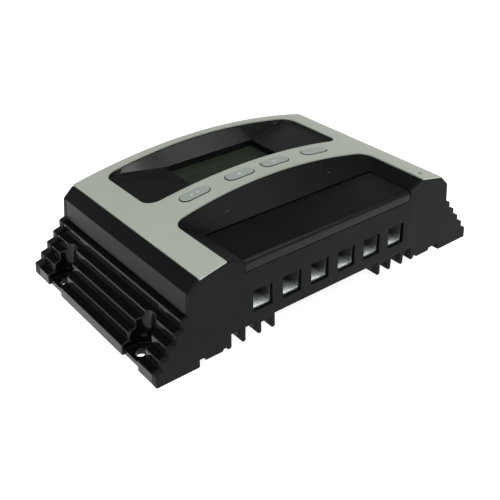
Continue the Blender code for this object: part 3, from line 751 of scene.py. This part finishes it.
def lower_rear(x):
    return LOWER_REAR - LOWER_BOW * (x / WINDOW_X) ** 2


def tray_foot(x):
    """Where the tray's rear slope meets its floor: along the display, then out to the rear corners."""
    low, high = DISPLAY_X
    corner = WINDOW_X - WINDOW_RADIUS
    beyond = max(low - x, x - high, 0.0)
    reach = corner + low if x < low else corner - high
    return DISPLAY_Y[1] + (upper_rear(corner) - DISPLAY_Y[1]) * beyond / reach


def upper_floor(x, y):
    return x, min(y, tray_foot(x))


def lower_floor(x, y):
    """The terminal recess narrows from the window's outline to a smaller round-cornered outline."""
    shrink = (SEAT_X - 0.4) / WINDOW_X
    fall = max(0.0, 1.0 - (lower_rear(x) - y) / (WINDOW_RADIUS + 0.5))
    return x * shrink, min(y, SEAT_REAR - (1.0 - fall) * 1.2)


def tray_air(outline, to_floor, floor_z):
    """The air of a tray, to cut from the housing: floor, sloping walls, and on up past the top."""
    overshoot = 1.12
    loops = [[], [], []]
    for x, y in outline:
        floor = Vector((*to_floor(x, y), floor_z))
        rim = Vector((x, y, arch(x) - HOUSING_DROP))
        over = floor + (rim - floor) * overshoot
        loops[0].append(floor)
        loops[1].append(over)
        loops[2].append(Vector((over.x, over.y, HEIGHT + 10.0)))
    return skin(loops)


# ---------------------------------------------------------------- base and end panels
def heatsink():
    """The base extrusion with its mounting channels, its screw holes and the posts for the main board."""
    right = side_steps(0.0) + [(SIDE_BLOCK_X, RIM[1]), (SIDE_BLOCK_X, PLATE_TOP)]
    outline = underside() + right + mirrored(right)
    base = to_object(extrude(outline, FRONT_JOINT + JOINT_GAP, REAR_JOINT - JOINT_GAP, "Y"), "heatsink")
    channels = []
    edges = []
    for side, row in PAIRS:
        middle = (side * (CHANNEL_DEPTH_X + CHANNEL_LENGTH / 2), row * CHANNEL_Y)
        channels.append(extrude(capsule(middle, CHANNEL_LENGTH, 2 * CHANNEL_RADIUS), FLANGE_TOP, 30.0, "Z"))
        outer = sorted((side * FLANGE_EDGE, side * (HALF_WIDTH + 4.0)))
        edges.append(block(outer, around(middle[1], CHANNEL_RADIUS), (-2.0, FLANGE_TOP + 0.5)))
    combine(base, "DIFFERENCE", merge(*channels), merge(*edges))
    clean(base)
    round_channel_corners(base)
    x, y, radius = MOUNT_HOLE
    mount_holes = discs([(side * x, row * y) for side, row in PAIRS], radius, (-1.0, 4.0))
    counterbores = discs(SCREW_HOLES, 3.1, (-1.0, 5.5))
    clearances = discs(SCREW_HOLES, 1.8, (5.0, 13.0))
    combine(base, "DIFFERENCE", mount_holes, counterbores, clearances)
    posts = middles("board_screw", 4)
    combine(base, "UNION", discs(posts, 3.0, (PLATE_TOP - 1.0, 13.0)))
    combine(base, "DIFFERENCE", discs(posts, 1.5, (9.9, 14.0), 24))
    clean(base)
    soften(base, BASE_EDGE, 3, hollow=INNER_SHARE, skip=at_joint)
    finish_piece(base, "heatsink", "base", "base", "heatsink_base")


def round_channel_corners(base):
    """Round the fin ends in plan where each channel cuts them."""
    bm = bmesh.new()
    bm.from_mesh(base.data)
    corners = []
    for edge in bm.edges:
        first, second = (vert.co / MM for vert in edge.verts)
        upright = abs(first.z - second.z) > 1.5 and abs(first.x - second.x) < 0.4
        beside = all(abs(abs(abs(point.y) - CHANNEL_Y) - CHANNEL_RADIUS) < 0.03 for point in (first, second))
        if upright and beside and edge.is_convex and min(abs(first.x), abs(second.x)) > CHANNEL_DEPTH_X + 1.0:
            if edge.calc_face_angle(0.0) > math.radians(60):
                corners.append(edge)
    inner = [edge for edge in corners if abs(edge.verts[0].co.x) < FLANGE_EDGE * MM]
    outer = [edge for edge in corners if edge not in inner]
    for edges, radius in ((inner, CHANNEL_CORNER), (outer, FOOT_CORNER)):
        bmesh.ops.bevel(bm, geom=edges, offset=radius * MM, segments=5, affect="EDGES", profile=0.5)
    bm.to_mesh(base.data)
    bm.free()


def lean_front(bm):
    """Lean the front face back, and stand the terminal area a little proud with slanted sides."""
    fin_line = MIDDLE_Z - 0.3
    for line in (WINDOW_X, SEAT_X):
        for side in (-1, 1):
            slice_at(bm, (side * line, 0.0, 0.0), (1.0, 0.0, 0.0))
    slice_at(bm, (0.0, 0.0, fin_line), (0.0, 0.0, 1.0))
    slice_at(bm, (0.0, 0.0, MIDDLE_Z), (0.0, 0.0, 1.0))
    for vert in bm.verts:
        if vert.co.y < FRONT_JOINT - 0.1:
            inside = abs(vert.co.x) < SEAT_X + 0.01 and vert.co.z > fin_line + 0.01
            vert.co.y = front_face(vert.co.z) - (TERMINAL_PROUD if inside else 0.0)


def left_sharp(a, b):
    """True for the joint's edges and the small ones where the terminal area's lower edge crosses the fins."""
    above_slots = all(MIDDLE_Z - 0.8 < end.z < MIDDLE_Z - 0.2 for end in (a, b))
    at_corner = all(abs(end.z - MIDDLE_Z) < 0.4 and SEAT_X - 0.1 < abs(end.x) < WINDOW_X + 0.1
                    for end in (a, b))
    return at_joint(a, b) or above_slots or at_corner


def in_entry(face):
    """True for a face of the front panel that lies inside a wire opening."""
    middle = face.center / MM
    inside = ENTRY_Z[0] - 0.2 < middle.z < ENTRY_Z[1] + 0.2 and abs(middle.x) < ENTRY_REACH
    return inside and front_face(middle.z) - TERMINAL_PROUD + 0.3 < middle.y < FRONT_JOINT + 0.1


def front_end():
    wing = arch_points(WINDOW_X, FACE_EDGE, HOUSING_DROP, 12)
    notch = [(SEAT_X, COVER_TOP), (SEAT_X, COVER_SKIRT_Z - GAP)]
    right = list(reversed(wing)) + notch
    bm = extrude(panel_outline(right + mirrored(right)), FRONT_JOINT, -HALF_DEPTH, "Y")
    lean_front(bm)
    entries = [block(around(spot.x, ENTRY_SIZE / 2), (-60.0, -45.0), ENTRY_Z)
               for spot in middles("clamp_cage", 6)]
    panel = build(bm, "front_end", "panel", "end_panels", "front_panel",
                  cuts=(merge(*entries), block(*POCKET)),
                  edge=PANEL_EDGE, segments=3, hollow=INNER_SHARE, skip=left_sharp)
    # The walls inside the wire openings take that far darker plastic as painted shade.
    recolour(panel, "hollow", in_entry)


def rear_end():
    top = list(reversed(arch_points(-FACE_EDGE, FACE_EDGE, HOUSING_DROP)))
    bm = extrude(panel_outline(top), REAR_JOINT, HALF_DEPTH, "Y")
    for vert in bm.verts:
        if vert.co.y > REAR_JOINT + 0.1:
            vert.co.y = back_face(vert.co.z)
    build(bm, "rear_end", "panel", "end_panels", "rear_panel",
          edge=PANEL_EDGE, segments=3, hollow=INNER_SHARE, skip=at_joint)


# ---------------------------------------------------------------- housing and face plate
def button_outline(place, grow):
    return capsule((place.x, place.y), BUTTON_LENGTH + grow, BUTTON_WIDTH + grow)


def button_slots():
    places = middles("button", 4)
    return merge(*(extrude(button_outline(place, 2 * BUTTON_SLOT), *PAST_TOP, "Z") for place in places))


def in_upper_tray(face):
    """True for a face of the polished tray round the display."""
    middle = face.center / MM
    return (middle.z > DISPLAY_RIM_Z and UPPER_FRONT - 0.5 < middle.y < UPPER_REAR + 0.5
            and abs(middle.x) < WINDOW_X + 0.5)


def housing():
    """The arched shell with thick rims, screw posts and studs inside, its two trays, and all its openings."""
    foot_z = RIM[1] + 0.35
    riser = FACE_EDGE + GAP
    outer_right = [(RIM[0], foot_z), WALL_TOP, (riser, CHAMFER_TOP[1] + 0.1)]
    outer_top = list(reversed(arch_points(-riser, riser, HOUSING_DROP)))
    outer = outer_right + outer_top + mirrored(outer_right)
    inner_right = [(RIM[0] - 2.5, foot_z), (WALL_TOP[0] - 2.5, WALL_TOP[1] - 1.0)]
    inner_top = list(reversed(arch_points(1.5 - riser, riser - 1.5, HOUSING_DROP + WALL)))
    inner = list(reversed(inner_right + inner_top + mirrored(inner_right)))
    low, high = FRONT_JOINT + GAP, REAR_JOINT - GAP

    pad = WINDOW_X + 2.1
    buried = arch_points(-pad, pad, HOUSING_DROP + 1.0)
    upper = extrude([(pad, 40.2), (-pad, 40.2)] + buried, UPPER_FRONT - WALL, high, "Y")
    lower = extrude([(pad, 36.0), (-pad, 36.0)] + buried, low, LOWER_REAR + WALL, "Y")
    rim = block(grown(DISPLAY_X, 2.8), (DISPLAY_Y[0] - 2.5, DISPLAY_Y[1] + 2.4), (39.4, 41.5))
    posts = discs(SCREW_HOLES, 2.8, (12.4, 40.0))
    studs = discs(middles("display_screw", 4), 2.6, (33.0, 42.0))

    upper_air = tray_air(window_outline(UPPER_FRONT, upper_rear), upper_floor, TRAY_Z)
    lower_air = tray_air(window_outline(LOWER_FRONT, lower_rear), lower_floor, COVER_TOP)
    display_hole = block(DISPLAY_X, DISPLAY_Y, (35.0, 44.0))
    seat = block(around(0.0, SEAT_X), (-55.0, SEAT_REAR), (SEAT_Z, 41.5))
    access = block(around(0.0, 48.4), (-55.0, -36.0), (30.0, 39.0))
    clips = merge(*(block(around(side * CLIP_X, 3.6), around(CLIP_Y, 1.0), (33.0, 39.0)) for side in (-1, 1)))
    shell = build(extrude(outer + inner, low, high, "Y"), "housing", "housing", "housing", "upper_housing",
                  joins=(upper, lower, rim, posts, studs),
                  cuts=(upper_air, lower_air, display_hole, seat, access, clips, button_slots(),
                        disc(LAMP, LAMP_HOLE, PAST_TOP), discs(SCREW_HOLES, 1.7, (10.0, 26.0))),
                  edge=HOUSING_EDGE, segments=3, angle=CREASE)
    recolour(shell, "tray", in_upper_tray)


def face():
    top = arch_points(-FACE_EDGE, FACE_EDGE, 0.0)
    under = arch_points(-FACE_EDGE, FACE_EDGE, FACE_THICK)
    bm = extrude(top + list(reversed(under)), -HALF_DEPTH, HALF_DEPTH, "Y")
    for vert in bm.verts:
        vert.co.y = front_face(vert.co.z) if vert.co.y < 0 else back_face(vert.co.z)
    bmesh.ops.recalc_face_normals(bm, faces=bm.faces)
    windows = merge(extrude(window_outline(UPPER_FRONT, upper_rear), *PAST_TOP, "Z"),
                    extrude(window_outline(LOWER_FRONT, lower_rear), *PAST_TOP, "Z"))
    build(bm, "face", "silver", "face", "face_plate",
          cuts=(windows, button_slots(), disc(LAMP, LAMP_HOLE, PAST_TOP)), edge=PLATE_EDGE)


def cover():
    """Terminal cover: flat lid, rounded front edge and rear corners, skirt and two snap legs."""
    low, high = (corner + Vector(COVER_SHIFT) for corner in corners_mm("terminal_cover"))
    under = COVER_TOP - 2.0
    front = front_face(COVER_TOP) - TERMINAL_PROUD
    skirt_front = front_face(COVER_SKIRT_Z) - TERMINAL_PROUD
    skirt_back = FRONT_JOINT + 0.1
    profile = [(high.y, under), (high.y, COVER_TOP)]
    profile += arc((front + COVER_RADIUS, COVER_TOP - COVER_RADIUS), COVER_RADIUS, 90, 180, 12)
    profile += [(skirt_front, COVER_SKIRT_Z), (skirt_back, COVER_SKIRT_Z), (skirt_back, under)]
    bm = extrude(profile, low.x, high.x, "X")
    corners = [edge for edge in bm.edges
               if all(abs(vert.co.y - high.y) < 0.01 for vert in edge.verts)
               and abs(edge.verts[0].co.z - edge.verts[1].co.z) > 1.0]
    bmesh.ops.bevel(bm, geom=corners, offset=1.6, segments=8, affect="EDGES", profile=0.5)
    legs = [block(around(side * CLIP_X, 3.0), around(CLIP_Y, 0.6), (34.6, under + 0.6)) for side in (-1, 1)]
    build(bm, "cover", "cover", "cover", "terminal_cover", joins=(merge(*legs),), body="terminal_cover",
          edge=COVER_EDGE, segments=3)


# ---------------------------------------------------------------- buttons, display and lamp
def buttons():
    """Caps that follow the arch, with a rounded rim, a retaining flange and a stem, and a plain sign each."""
    for node, outlines in zip(numbered("button", 4), sign_outlines()):
        place = center_mm(node)
        stem_end = corners_mm(node)[0].z
        flange_top = arch(abs(place.x) + BUTTON_LENGTH / 2) - HOUSING_DROP - WALL - 0.4
        loops = [[(x, y, flange_top - 0.5) for x, y in button_outline(place, 0.0)]]
        for step in range(RIM_STEPS + 1):
            angle = math.pi / 2 * step / RIM_STEPS
            inset = BUTTON_RIM * (1 - math.cos(angle))
            drop = BUTTON_RIM * (1 - math.sin(angle)) - BUTTON_PROUD
            loops.append([(x, y, arch(x) - drop) for x, y in button_outline(place, -2 * inset)])
        cap = to_object(skin(loops), node)
        combine(cap, "UNION", extrude(button_outline(place, 2.0), flange_top - 1.3, flange_top, "Z"),
                disc(place, 1.6, (stem_end, flange_top - 0.8)))
        soften(cap, 0.08)
        finish_piece(cap, f"{node}_cap", "button", "buttons", node, body=node)
        # The cap's sides take the dark moulding, as on a cap painted only on top; it also stands in as
        # painted shade for the gap round the cap.
        recolour(cap, "moulded", lambda face: face.normal.z < 0.45)
        sign = merge(*(extrude([(place.x + x, place.y + y) for x, y in outline], -0.02, 0.025, "Z")
                       for outline in outlines))
        for vert in sign.verts:
            vert.co.z += arch(vert.co.x) + BUTTON_PROUD
        finish_piece(to_object(sign, "sign"), f"{node}_sign", "sign", "buttons", body=node)


def sign_outlines():
    """Plain signs for the four buttons: bars, a triangle up, one down, and a ring left open at the rear."""
    bars = [[(x, -0.9), (x + 0.5, -0.9), (x + 0.5, 0.9), (x, 0.9)] for x in (-2.3, -1.5, 0.9, 1.7)]
    up = [(-1.5, -0.9), (1.5, -0.9), (0.0, 1.2)]
    down = [(1.5, 0.9), (-1.5, 0.9), (0.0, -1.2)]
    ring = arc((0.0, 0.0), 1.15, 115, 425, 24) + arc((0.0, 0.0), 0.8, 425, 115, 24)
    return bars, [up], [down], [ring]


def recess_marks():
    """Two faint dashes moulded on the sloping recess above the terminal cover."""
    y = -18.6
    corners = [(-0.9, -0.25), (0.9, -0.25), (0.9, 0.25), (-0.9, 0.25)]
    for side, x in (("left", -32.4), ("right", 28.0)):
        slope = (arch(x) - HOUSING_DROP - COVER_TOP) / (lower_rear(x) - SEAT_REAR)
        z = COVER_TOP + slope * (y - SEAT_REAR)
        mark = skin([[(x + a, y + b, z + slope * b + lift) for a, b in corners] for lift in (0.0, 0.06)])
        finish_piece(to_object(mark, "mark"), f"recess_mark_{side}", "mark", "housing")


def lamp():
    """A small lens with a domed top, standing on a flange."""
    height = arch(LAMP[0]) - 0.1
    foot = [(0.0, 36.5), (LAMP_RADIUS, 36.5), (LAMP_RADIUS, 37.0), (2.2, 37.0), (2.2, 38.5),
            (LAMP_RADIUS, 38.5)]
    dome = [(LAMP_RADIUS * share, height - drop)
            for share, drop in ((1.0, 0.5), (0.88, 0.2), (0.55, 0.04), (0.0, 0.0))]
    obj = to_object(turned(LAMP, foot + dome, 32), "lamp")
    shade(obj, SHARP)
    finish_piece(obj, "lamp", "lamp", "lamp", "status_lamp")


# ---------------------------------------------------------------- wire terminals
def clamp_cages():
    """Folded nickel cages: a round-cornered sleeve with a serrated floor and a hole for the screw."""
    for node, spot in zip(numbered("clamp_cage", 6), middles("terminal_screw", 6)):
        low, high = corners_mm(node)
        outside = rounded_box((low.x, high.x), (low.z, high.z), 1.3)
        cage = to_object(extrude(outside, low.y, high.y, "Y"), node)
        hollow = rounded_box((low.x + 1.0, high.x - 1.0), (low.z + 1.2, high.z - 1.6), 0.5, 4)
        combine(cage, "DIFFERENCE", extrude(hollow, -60.0, -30.0, "Y"), disc(spot, 2.2, (25.0, 30.0)))
        start = low.y + 0.2
        end = start + TEETH * TOOTH_PITCH
        valley = low.z + 1.1
        teeth = [(start, valley - 0.1)]
        for row in range(TEETH):
            teeth.append((start + row * TOOTH_PITCH, valley))
            teeth.append((start + (row + 0.55) * TOOTH_PITCH, valley + 0.45))
        teeth += [(end, valley), (end, valley - 0.1)]
        combine(cage, "UNION", extrude(teeth, low.x + 0.9, high.x - 0.9, "X"))
        clean(cage)
        soften(cage, 0.06)
        # The nickel material paints a highlight and shade across each cage.
        finish_piece(cage, f"{node}_sleeve", "nickel", "clamps", node, body=node)


def contact_bars():
    """Tinned strips, bent down at the back with a round bend."""
    thick = 1.2
    bend = 1.9
    for node in numbered("contact_bar", 6):
        low, high = corners_mm(node)
        middle = (high.y - bend, high.z - bend)
        profile = [(high.y, low.z)] + arc(middle, bend, 0, 90, 8) + [(low.y, high.z), (low.y, high.z - thick)]
        profile += arc(middle, bend - thick, 90, 0, 8) + [(high.y - thick, low.z)]
        build(extrude(profile, low.x, high.x, "X"), f"{node}_strip", "tin", "contacts", node, edge=0.12)


def threaded(low, high, radius, pitch, tip=0.5):
    """Half profile of a threaded shank from its tip up."""
    profile = [(0.0, low), (radius - tip, low), (radius - 0.05, low + tip)]
    z = low + tip + 0.1
    while z + pitch < high:
        profile += [(radius, z), (radius - 0.22, z + pitch / 2)]
        z += pitch
    return profile + [(radius, z)]


def screw(node, body, head_low, head_radius, shank_radius, pitch, head_up, recess):
    """A pan-head screw: threaded shank, domed head and a driver recess. head_up is False under the base."""
    low, high = corners_mm(node)
    center = center_mm(node)
    tall = high.z - low.z
    head = tall - head_low
    dome = [(head_radius * share, tall - head * drop)
            for share, drop in ((1.0, 1.0), (1.0, 0.45), (0.93, 0.2), (0.78, 0.05), (0.5, 0.0), (0.0, 0.0))]
    obj = to_object(turned(center, threaded(0.0, head_low, shank_radius, pitch) + dome, 28), node)
    depth = (tall - head * 0.55, tall + 1.0)
    reach, half = {"slot": (head_radius + 1.0, 0.45), "cross": (head_radius * 0.62, 0.4)}[recess]
    cuts = [block(around(center.x, reach), around(center.y, half), depth)]
    if recess == "cross":
        cuts.append(block(around(center.x, half), around(center.y, reach), depth))
    combine(obj, "DIFFERENCE", *cuts)
    for vert in obj.data.vertices:
        z = vert.co.z if head_up else tall * MM - vert.co.z
        vert.co.z = low.z * MM + z
    if not head_up:
        obj.data.flip_normals()
    clean(obj)
    shade(obj, SHARP)
    finish_piece(obj, f"{node}_turned", "zinc", "screws", node, body=body)


def screws():
    for node in numbered("terminal_screw", 6):
        screw(node, node, 8.5, 3.2, 1.9, 0.7, True, "slot")
    for number in range(1, 5):
        screw(f"board_screw_{number}", ROOT, 5.0, 2.6, 1.2, 0.5, True, "cross")
        screw(f"display_screw_{number}", ROOT, 6.2, 2.3, 0.85, 0.5, False, "cross")
        screw(f"housing_screw_{number}", ROOT, 14.8, 2.8, 1.35, 0.6, False, "cross")


# ---------------------------------------------------------------- display, boards and their parts
def display_stack():
    """The display glass with its smaller film, and the white frame that carries it."""
    x, y, z = node_ranges("display_glass")
    film = block(grown(x, -1.2), grown(y, -1.2), (z[1] - 0.5, z[1]))
    build(block(x, y, (z[0], z[1] - 0.15)), "display_glass_film", "display", "display", "display_glass",
          joins=(film,), edge=0.08)

    x, y, z = node_ranges("display_frame")
    notches = [block(around(GROUP_X + step * 8.0, 2.5), around(edge, 0.8), grown(z, 1.0))
               for step in range(-3, 4) for edge in y]
    build(block(x, y, z), "display_carrier", "frame", "display_frame", "display_frame",
          cuts=(block(around(GROUP_X, 26.0), DISPLAY_Y, grown(z, 1.0)), merge(*notches)), edge=0.25)


def board(node, screw_stem, hole, parts):
    """A circuit board with round corners and screw holes, with small chips and their solder ends on it."""
    x, y, z = node_ranges(node)
    holes = discs(middles(screw_stem, 4), hole, grown(z, 1.0))
    build(extrude(rounded_box(x, y, 1.5), z[0], z[1], "Z"), f"{node}_sheet", "board", "boards", node,
          cuts=(holes,), edge=0.06, segments=1)
    chips = merge(*(block(around(a, 0.65), around(b, 0.5), (z[1] - 0.02, z[1] + 0.25)) for a, b in parts))
    ends = merge(*(block(around(a + side * 0.8, 0.2), around(b, 0.5), (z[1] - 0.02, z[1] + 0.2))
                   for a, b in parts for side in (-1, 1)))
    finish_piece(to_object(chips, "chips"), f"{node}_chips", "moulded", "boards")
    finish_piece(to_object(ends, "ends"), f"{node}_solder", "tin", "boards")


def capacitors():
    """Rolled-edge cans with a groove near the foot and a cross-shaped vent on top."""
    for node in numbered("capacitor", 2):
        x, _, (low, high) = node_ranges(node)
        radius = (x[1] - x[0]) / 2
        middle = center_mm(node)
        profile = [(0.0, low), (radius - 0.4, low), (radius, low + 0.4), (radius, low + 1.5),
                   (radius - 0.5, low + 2.1), (radius, low + 2.7), (radius, high - 0.4), (radius - 0.4, high),
                   (radius - 0.9, high), (radius - 1.1, high - 0.3), (0.0, high - 0.3)]
        vent = [block(around(middle.x, a), around(middle.y, b), (high - 0.45, high))
                for a, b in ((3.2, 0.15), (0.15, 3.2))]
        obj = build(turned(middle, profile, 48), f"{node}_can", "capacitor", "capacitors", node, cuts=vent)
        recolour(obj, "tin", lambda face: face.center.z > (high - 0.5) * MM and face.normal.z > 0.9)


def mosfets():
    """Power transistors against the housing's side: moulded body, drilled metal tab and three bent leads."""
    foot = node_ranges("main_board")[2][1] + GAP
    for node in numbered("mosfet", 4):
        x, y, z = node_ranges(node)
        side = 1 if x[0] > 0 else -1
        toe, wall = sorted(abs(end) for end in x)
        middle = center_mm(node).y
        body = block(across(side, wall - 4.4, wall), grown(y, -0.1), (z[0], z[0] + 7.4))
        tab = block(across(side, wall - 1.3, wall), y, (z[0] + 7.0, z[1]))
        leads = merge(*(block(across(side, toe + 0.2, wall - 4.0), around(middle + step * 2.54, 0.45),
                              (foot, foot + 0.65)) for step in (-1, 0, 1)))
        hole = extrude(arc((middle, z[0] + 9.5), 1.8, 0, 360, 28)[:-1], -100.0, 100.0, "X")
        obj = build(body, f"{node}_package", "moulded", "dark_parts", node,
                    joins=(tab, leads), cuts=(hole,), edge=0.12)
        recolour(obj, "tin", lambda face: face.center.z > (z[0] + 7.45) * MM
                 or abs(face.center.x) < (wall - 4.45) * MM)


def switches():
    """Tactile switches: moulded base, pressed metal plate with four pegs, and a round plunger."""
    for node in numbered("switch", 4):
        x, y, (low, high) = node_ranges(node)
        middle = center_mm(node)
        base = block(grown(x, -0.05), grown(y, -0.05), (low, low + 3.2))
        corners = [(middle.x + a * 2.2, middle.y + b * 2.2) for a, b in PAIRS]
        pegs = discs(corners, 0.45, (low + 3.0, low + 3.5), 16)
        collar = disc(middle, 2.2, (low + 3.1, low + 3.4))
        plunger = disc(middle, 1.6, (low + 3.3, high))
        obj = build(base, f"{node}_body", "moulded", "dark_parts", node,
                    joins=(pegs, collar, plunger), edge=0.10)
        recolour(obj, "tin", lambda face: abs(face.center.z / MM - low - 3.2) < 0.05 and face.normal.z > 0.9)


def microcontroller():
    """A flat square chip with a first-pin dimple and eleven legs on each side."""
    x, y, (low, high) = node_ranges("microcontroller")
    middle = center_mm("microcontroller")
    legs = []
    for step in range(-5, 6):
        legs.append(block(x, around(middle.y + step * 0.8, 0.16), (low, low + 0.2)))
        legs.append(block(around(middle.x + step * 0.8, 0.16), y, (low, low + 0.2)))
    dimple = disc((x[0] + 2.0, y[0] + 2.0), 0.5, (high - 0.15, high + 1.0), 20)
    body = build(block(grown(x, -1.0), grown(y, -1.0), (low + 0.15, high)), "microcontroller_chip", "moulded",
                 "dark_parts", "microcontroller", joins=legs, cuts=(dimple,), edge=0.06, segments=1)
    recolour(body, "tin", lambda face: face.center.z < (low + 0.21) * MM and (
        abs(face.center.x / MM - middle.x) > 5.02 or abs(face.center.y / MM - middle.y) > 5.02))


def board_connector():
    """A two-row pin header between the boards: a socket on each, joined by square pins."""
    x, y, (low, high) = node_ranges("board_connector")
    middle = center_mm("board_connector")
    tall = 7.0
    obj = to_object(merge(block(x, y, (low, low + tall)), block(x, y, (high - tall, high))), "header")
    soften(obj, 0.2)
    pins = merge(*(block(around(middle.x + (step - 4.5) * 2.54, 0.32), around(middle.y + row * 1.27, 0.32),
                         (low + 0.3, high - 0.3)) for step in range(10) for row in (-1, 1)))
    combine(obj, "UNION", pins)
    finish_piece(obj, "board_connector_header", "moulded", "dark_parts", "board_connector")
    recolour(obj, "tin", lambda face: low + tall + 0.05 < face.center.z / MM < high - tall - 0.05)


def fuse_and_holder():
    """A blade fuse with a stepped top and bevelled blades, in a ribbed holder."""
    x, y, z = node_ranges("fuse_holder")
    middle = center_mm("fuse_holder")
    ribs = [block(around(middle.x + step * 4.0, 0.6), y, (z[0], z[1] - 1.0)) for step in range(-2, 3)]
    slots = [block(around(middle.x + side * 6.0, 2.4), around(middle.y, 1.0), (17.0, z[1] + 1.0))
             for side in (-1, 1)]
    build(block(x, grown(y, -0.5), z), "fuse_holder_body", "moulded", "dark_parts", "fuse_holder",
          joins=(merge(*ribs),), cuts=(merge(*slots),), edge=0.15)

    x, y, z = node_ranges("fuse")
    low = z[1] - 7.2
    shoulder = z[1] - 1.5
    outline = [(x[0], low), (x[1], low), (x[1], shoulder), (x[1] - 2.0, shoulder), (x[1] - 2.0, z[1]),
               (x[0] + 2.0, z[1]), (x[0] + 2.0, shoulder), (x[0], shoulder)]
    panels = [block(grown(x, -3.5), around(edge, 0.4), (low + 1.2, z[1] - 2.5)) for edge in y]
    body = to_object(extrude(outline, y[0], y[1], "Y"), "fuse")
    combine(body, "DIFFERENCE", merge(*panels))
    clean(body)
    soften(body, 0.25)
    blades = []
    for side in (-1, 1):
        inner, outer = around(side * 6.0, 1.9)
        tip = [(inner, low + 0.5), (inner, z[0] + 0.7), (inner + 0.7, z[0]), (outer - 0.7, z[0]),
               (outer, z[0] + 0.7), (outer, low + 0.5)]
        blades.append(extrude(tip, middle.y - 0.4, middle.y + 0.4, "Y"))
    combine(body, "UNION", merge(*blades))
    finish_piece(body, "fuse_blade_body", "fuse", "fuse", "fuse")
    recolour(body, "tin", lambda face: face.center.z < (low - 0.02) * MM)


def terminal_block():
    """The moulded block round the clamps: bays, screw wells and grooves between the terminals."""
    x, y, z = node_ranges("terminal_block")
    foot = block(x, (y[0], -39.8), (z[0], z[0] + 3.8))
    spots = middles("terminal_screw", 6)
    shelf = 33.5
    bays = [block(around(spot.x, 6.3), (y[0] - 5.0, y[1] - 1.3), (z[0] + 1.1, shelf)) for spot in spots]
    grooves = [block(around((near.x + far.x) / 2, 0.5), grown(y, 1.0), (z[1] - 0.7, z[1] + 1.0))
               for near, far in zip(spots, spots[1:])]
    holes = discs(spots, 2.3, (shelf - 1.0, shelf + 2.1))
    wells = discs(spots, 3.6, (shelf + 1.1, shelf + 6.5))
    build(block(x, y, (z[0] + 2.8, z[1])), "terminal_block_moulding", "moulded", "terminal_block",
          "terminal_block", joins=(foot,), cuts=(merge(*bays), holes, wells, merge(*grooves)), edge=0.25)


# ---------------------------------------------------------------- stage, light and camera
def stage():
    bm = bmesh.new()
    bmesh.ops.create_grid(bm, x_segments=1, y_segments=1, size=FLOOR_REACH)
    floor = to_object(bm, "floor")
    surface = Surface("pale_floor", roughness=0.9, specular=0.1)
    surface.color(surface.blend(surface.noise(4.0, 3.0), (0.50, 0.50, 0.50), (0.53, 0.53, 0.53)))
    surface.shader.inputs["Emission Color"].default_value = (1.0, 1.0, 1.0, 1.0)
    surface.shader.inputs["Emission Strength"].default_value = FLOOR_GLOW
    floor.data.materials.append(surface.material)


def area_light(name, place, target, size, power):
    data = bpy.data.lights.new(name, "AREA")
    data.shape = "RECTANGLE"
    data.size, data.size_y = size
    data.energy = power
    light = bpy.data.objects.new(name, data)
    light.location = place
    light.rotation_euler = (Vector(target) - Vector(place)).to_track_quat("-Z", "Y").to_euler()
    bpy.context.scene.collection.objects.link(light)


def studio_world():
    """A pale horizon that fades to a dim sky, so that upward faces stay dark and the floor stays white."""
    world = bpy.data.worlds.new("studio")
    world.use_nodes = True
    tree = world.node_tree
    place = add_node(tree, "ShaderNodeTexCoord", {}).outputs["Generated"]
    height = add_node(tree, "ShaderNodeSeparateXYZ", {"Vector": place}).outputs["Z"]
    low, high = HORIZON_FADE
    ends = {"Value": height, "From Min": low, "From Max": high, "To Min": HORIZON_LIGHT, "To Max": SKY_LIGHT}
    fade = add_node(tree, "ShaderNodeMapRange", ends, interpolation_type="SMOOTHSTEP")
    background = tree.nodes["Background"]
    background.inputs["Color"].default_value = (0.985, 1.0, 0.995, 1.0)
    tree.links.new(fade.outputs["Result"], background.inputs["Strength"])
    bpy.context.scene.world = world


def lights():
    studio_world()
    bpy.context.scene.view_settings.view_transform = "Standard"
    area_light("overhead", (-0.35, -0.45, 1.3), (-0.05, -0.05, 0.0), (1.8, 1.5), 27.5)
    area_light("right_high", (0.45, 0.02, 1.05), (0.0, 0.03, 0.04), (0.50, 0.45), 1.0)
    area_light("key", (0.50, -0.50, 0.85), (0.0, -0.05, 0.02), (0.32, 0.32), 1.6)


def camera():
    azimuth = math.radians(CAMERA_AZIMUTH)
    elevation = math.radians(CAMERA_ELEVATION)
    back = Vector((math.sin(azimuth) * math.cos(elevation), -math.cos(azimuth) * math.cos(elevation),
                   math.sin(elevation)))
    data = bpy.data.cameras.new("camera")
    data.lens = CAMERA_LENS
    data.sensor_width = CAMERA_SENSOR
    data.clip_start = 0.01
    obj = bpy.data.objects.new("camera", data)
    obj.location = (Vector(CAMERA_TARGET) + back * CAMERA_DISTANCE) * MM
    obj.rotation_euler = back.to_track_quat("Z", "Y").to_euler()
    bpy.context.scene.collection.objects.link(obj)
    bpy.context.scene.camera = obj


stage()
lights()
camera()
heatsink()
front_end()
rear_end()
housing()
face()
cover()
buttons()
recess_marks()
lamp()
clamp_cages()
contact_bars()
screws()
display_stack()
board("main_board", "board_screw", 1.6, MAIN_CHIPS)
board("display_board", "display_screw", 1.3, DISPLAY_CHIPS)
capacitors()
mosfets()
switches()
microcontroller()
board_connector()
fuse_and_holder()
terminal_block()
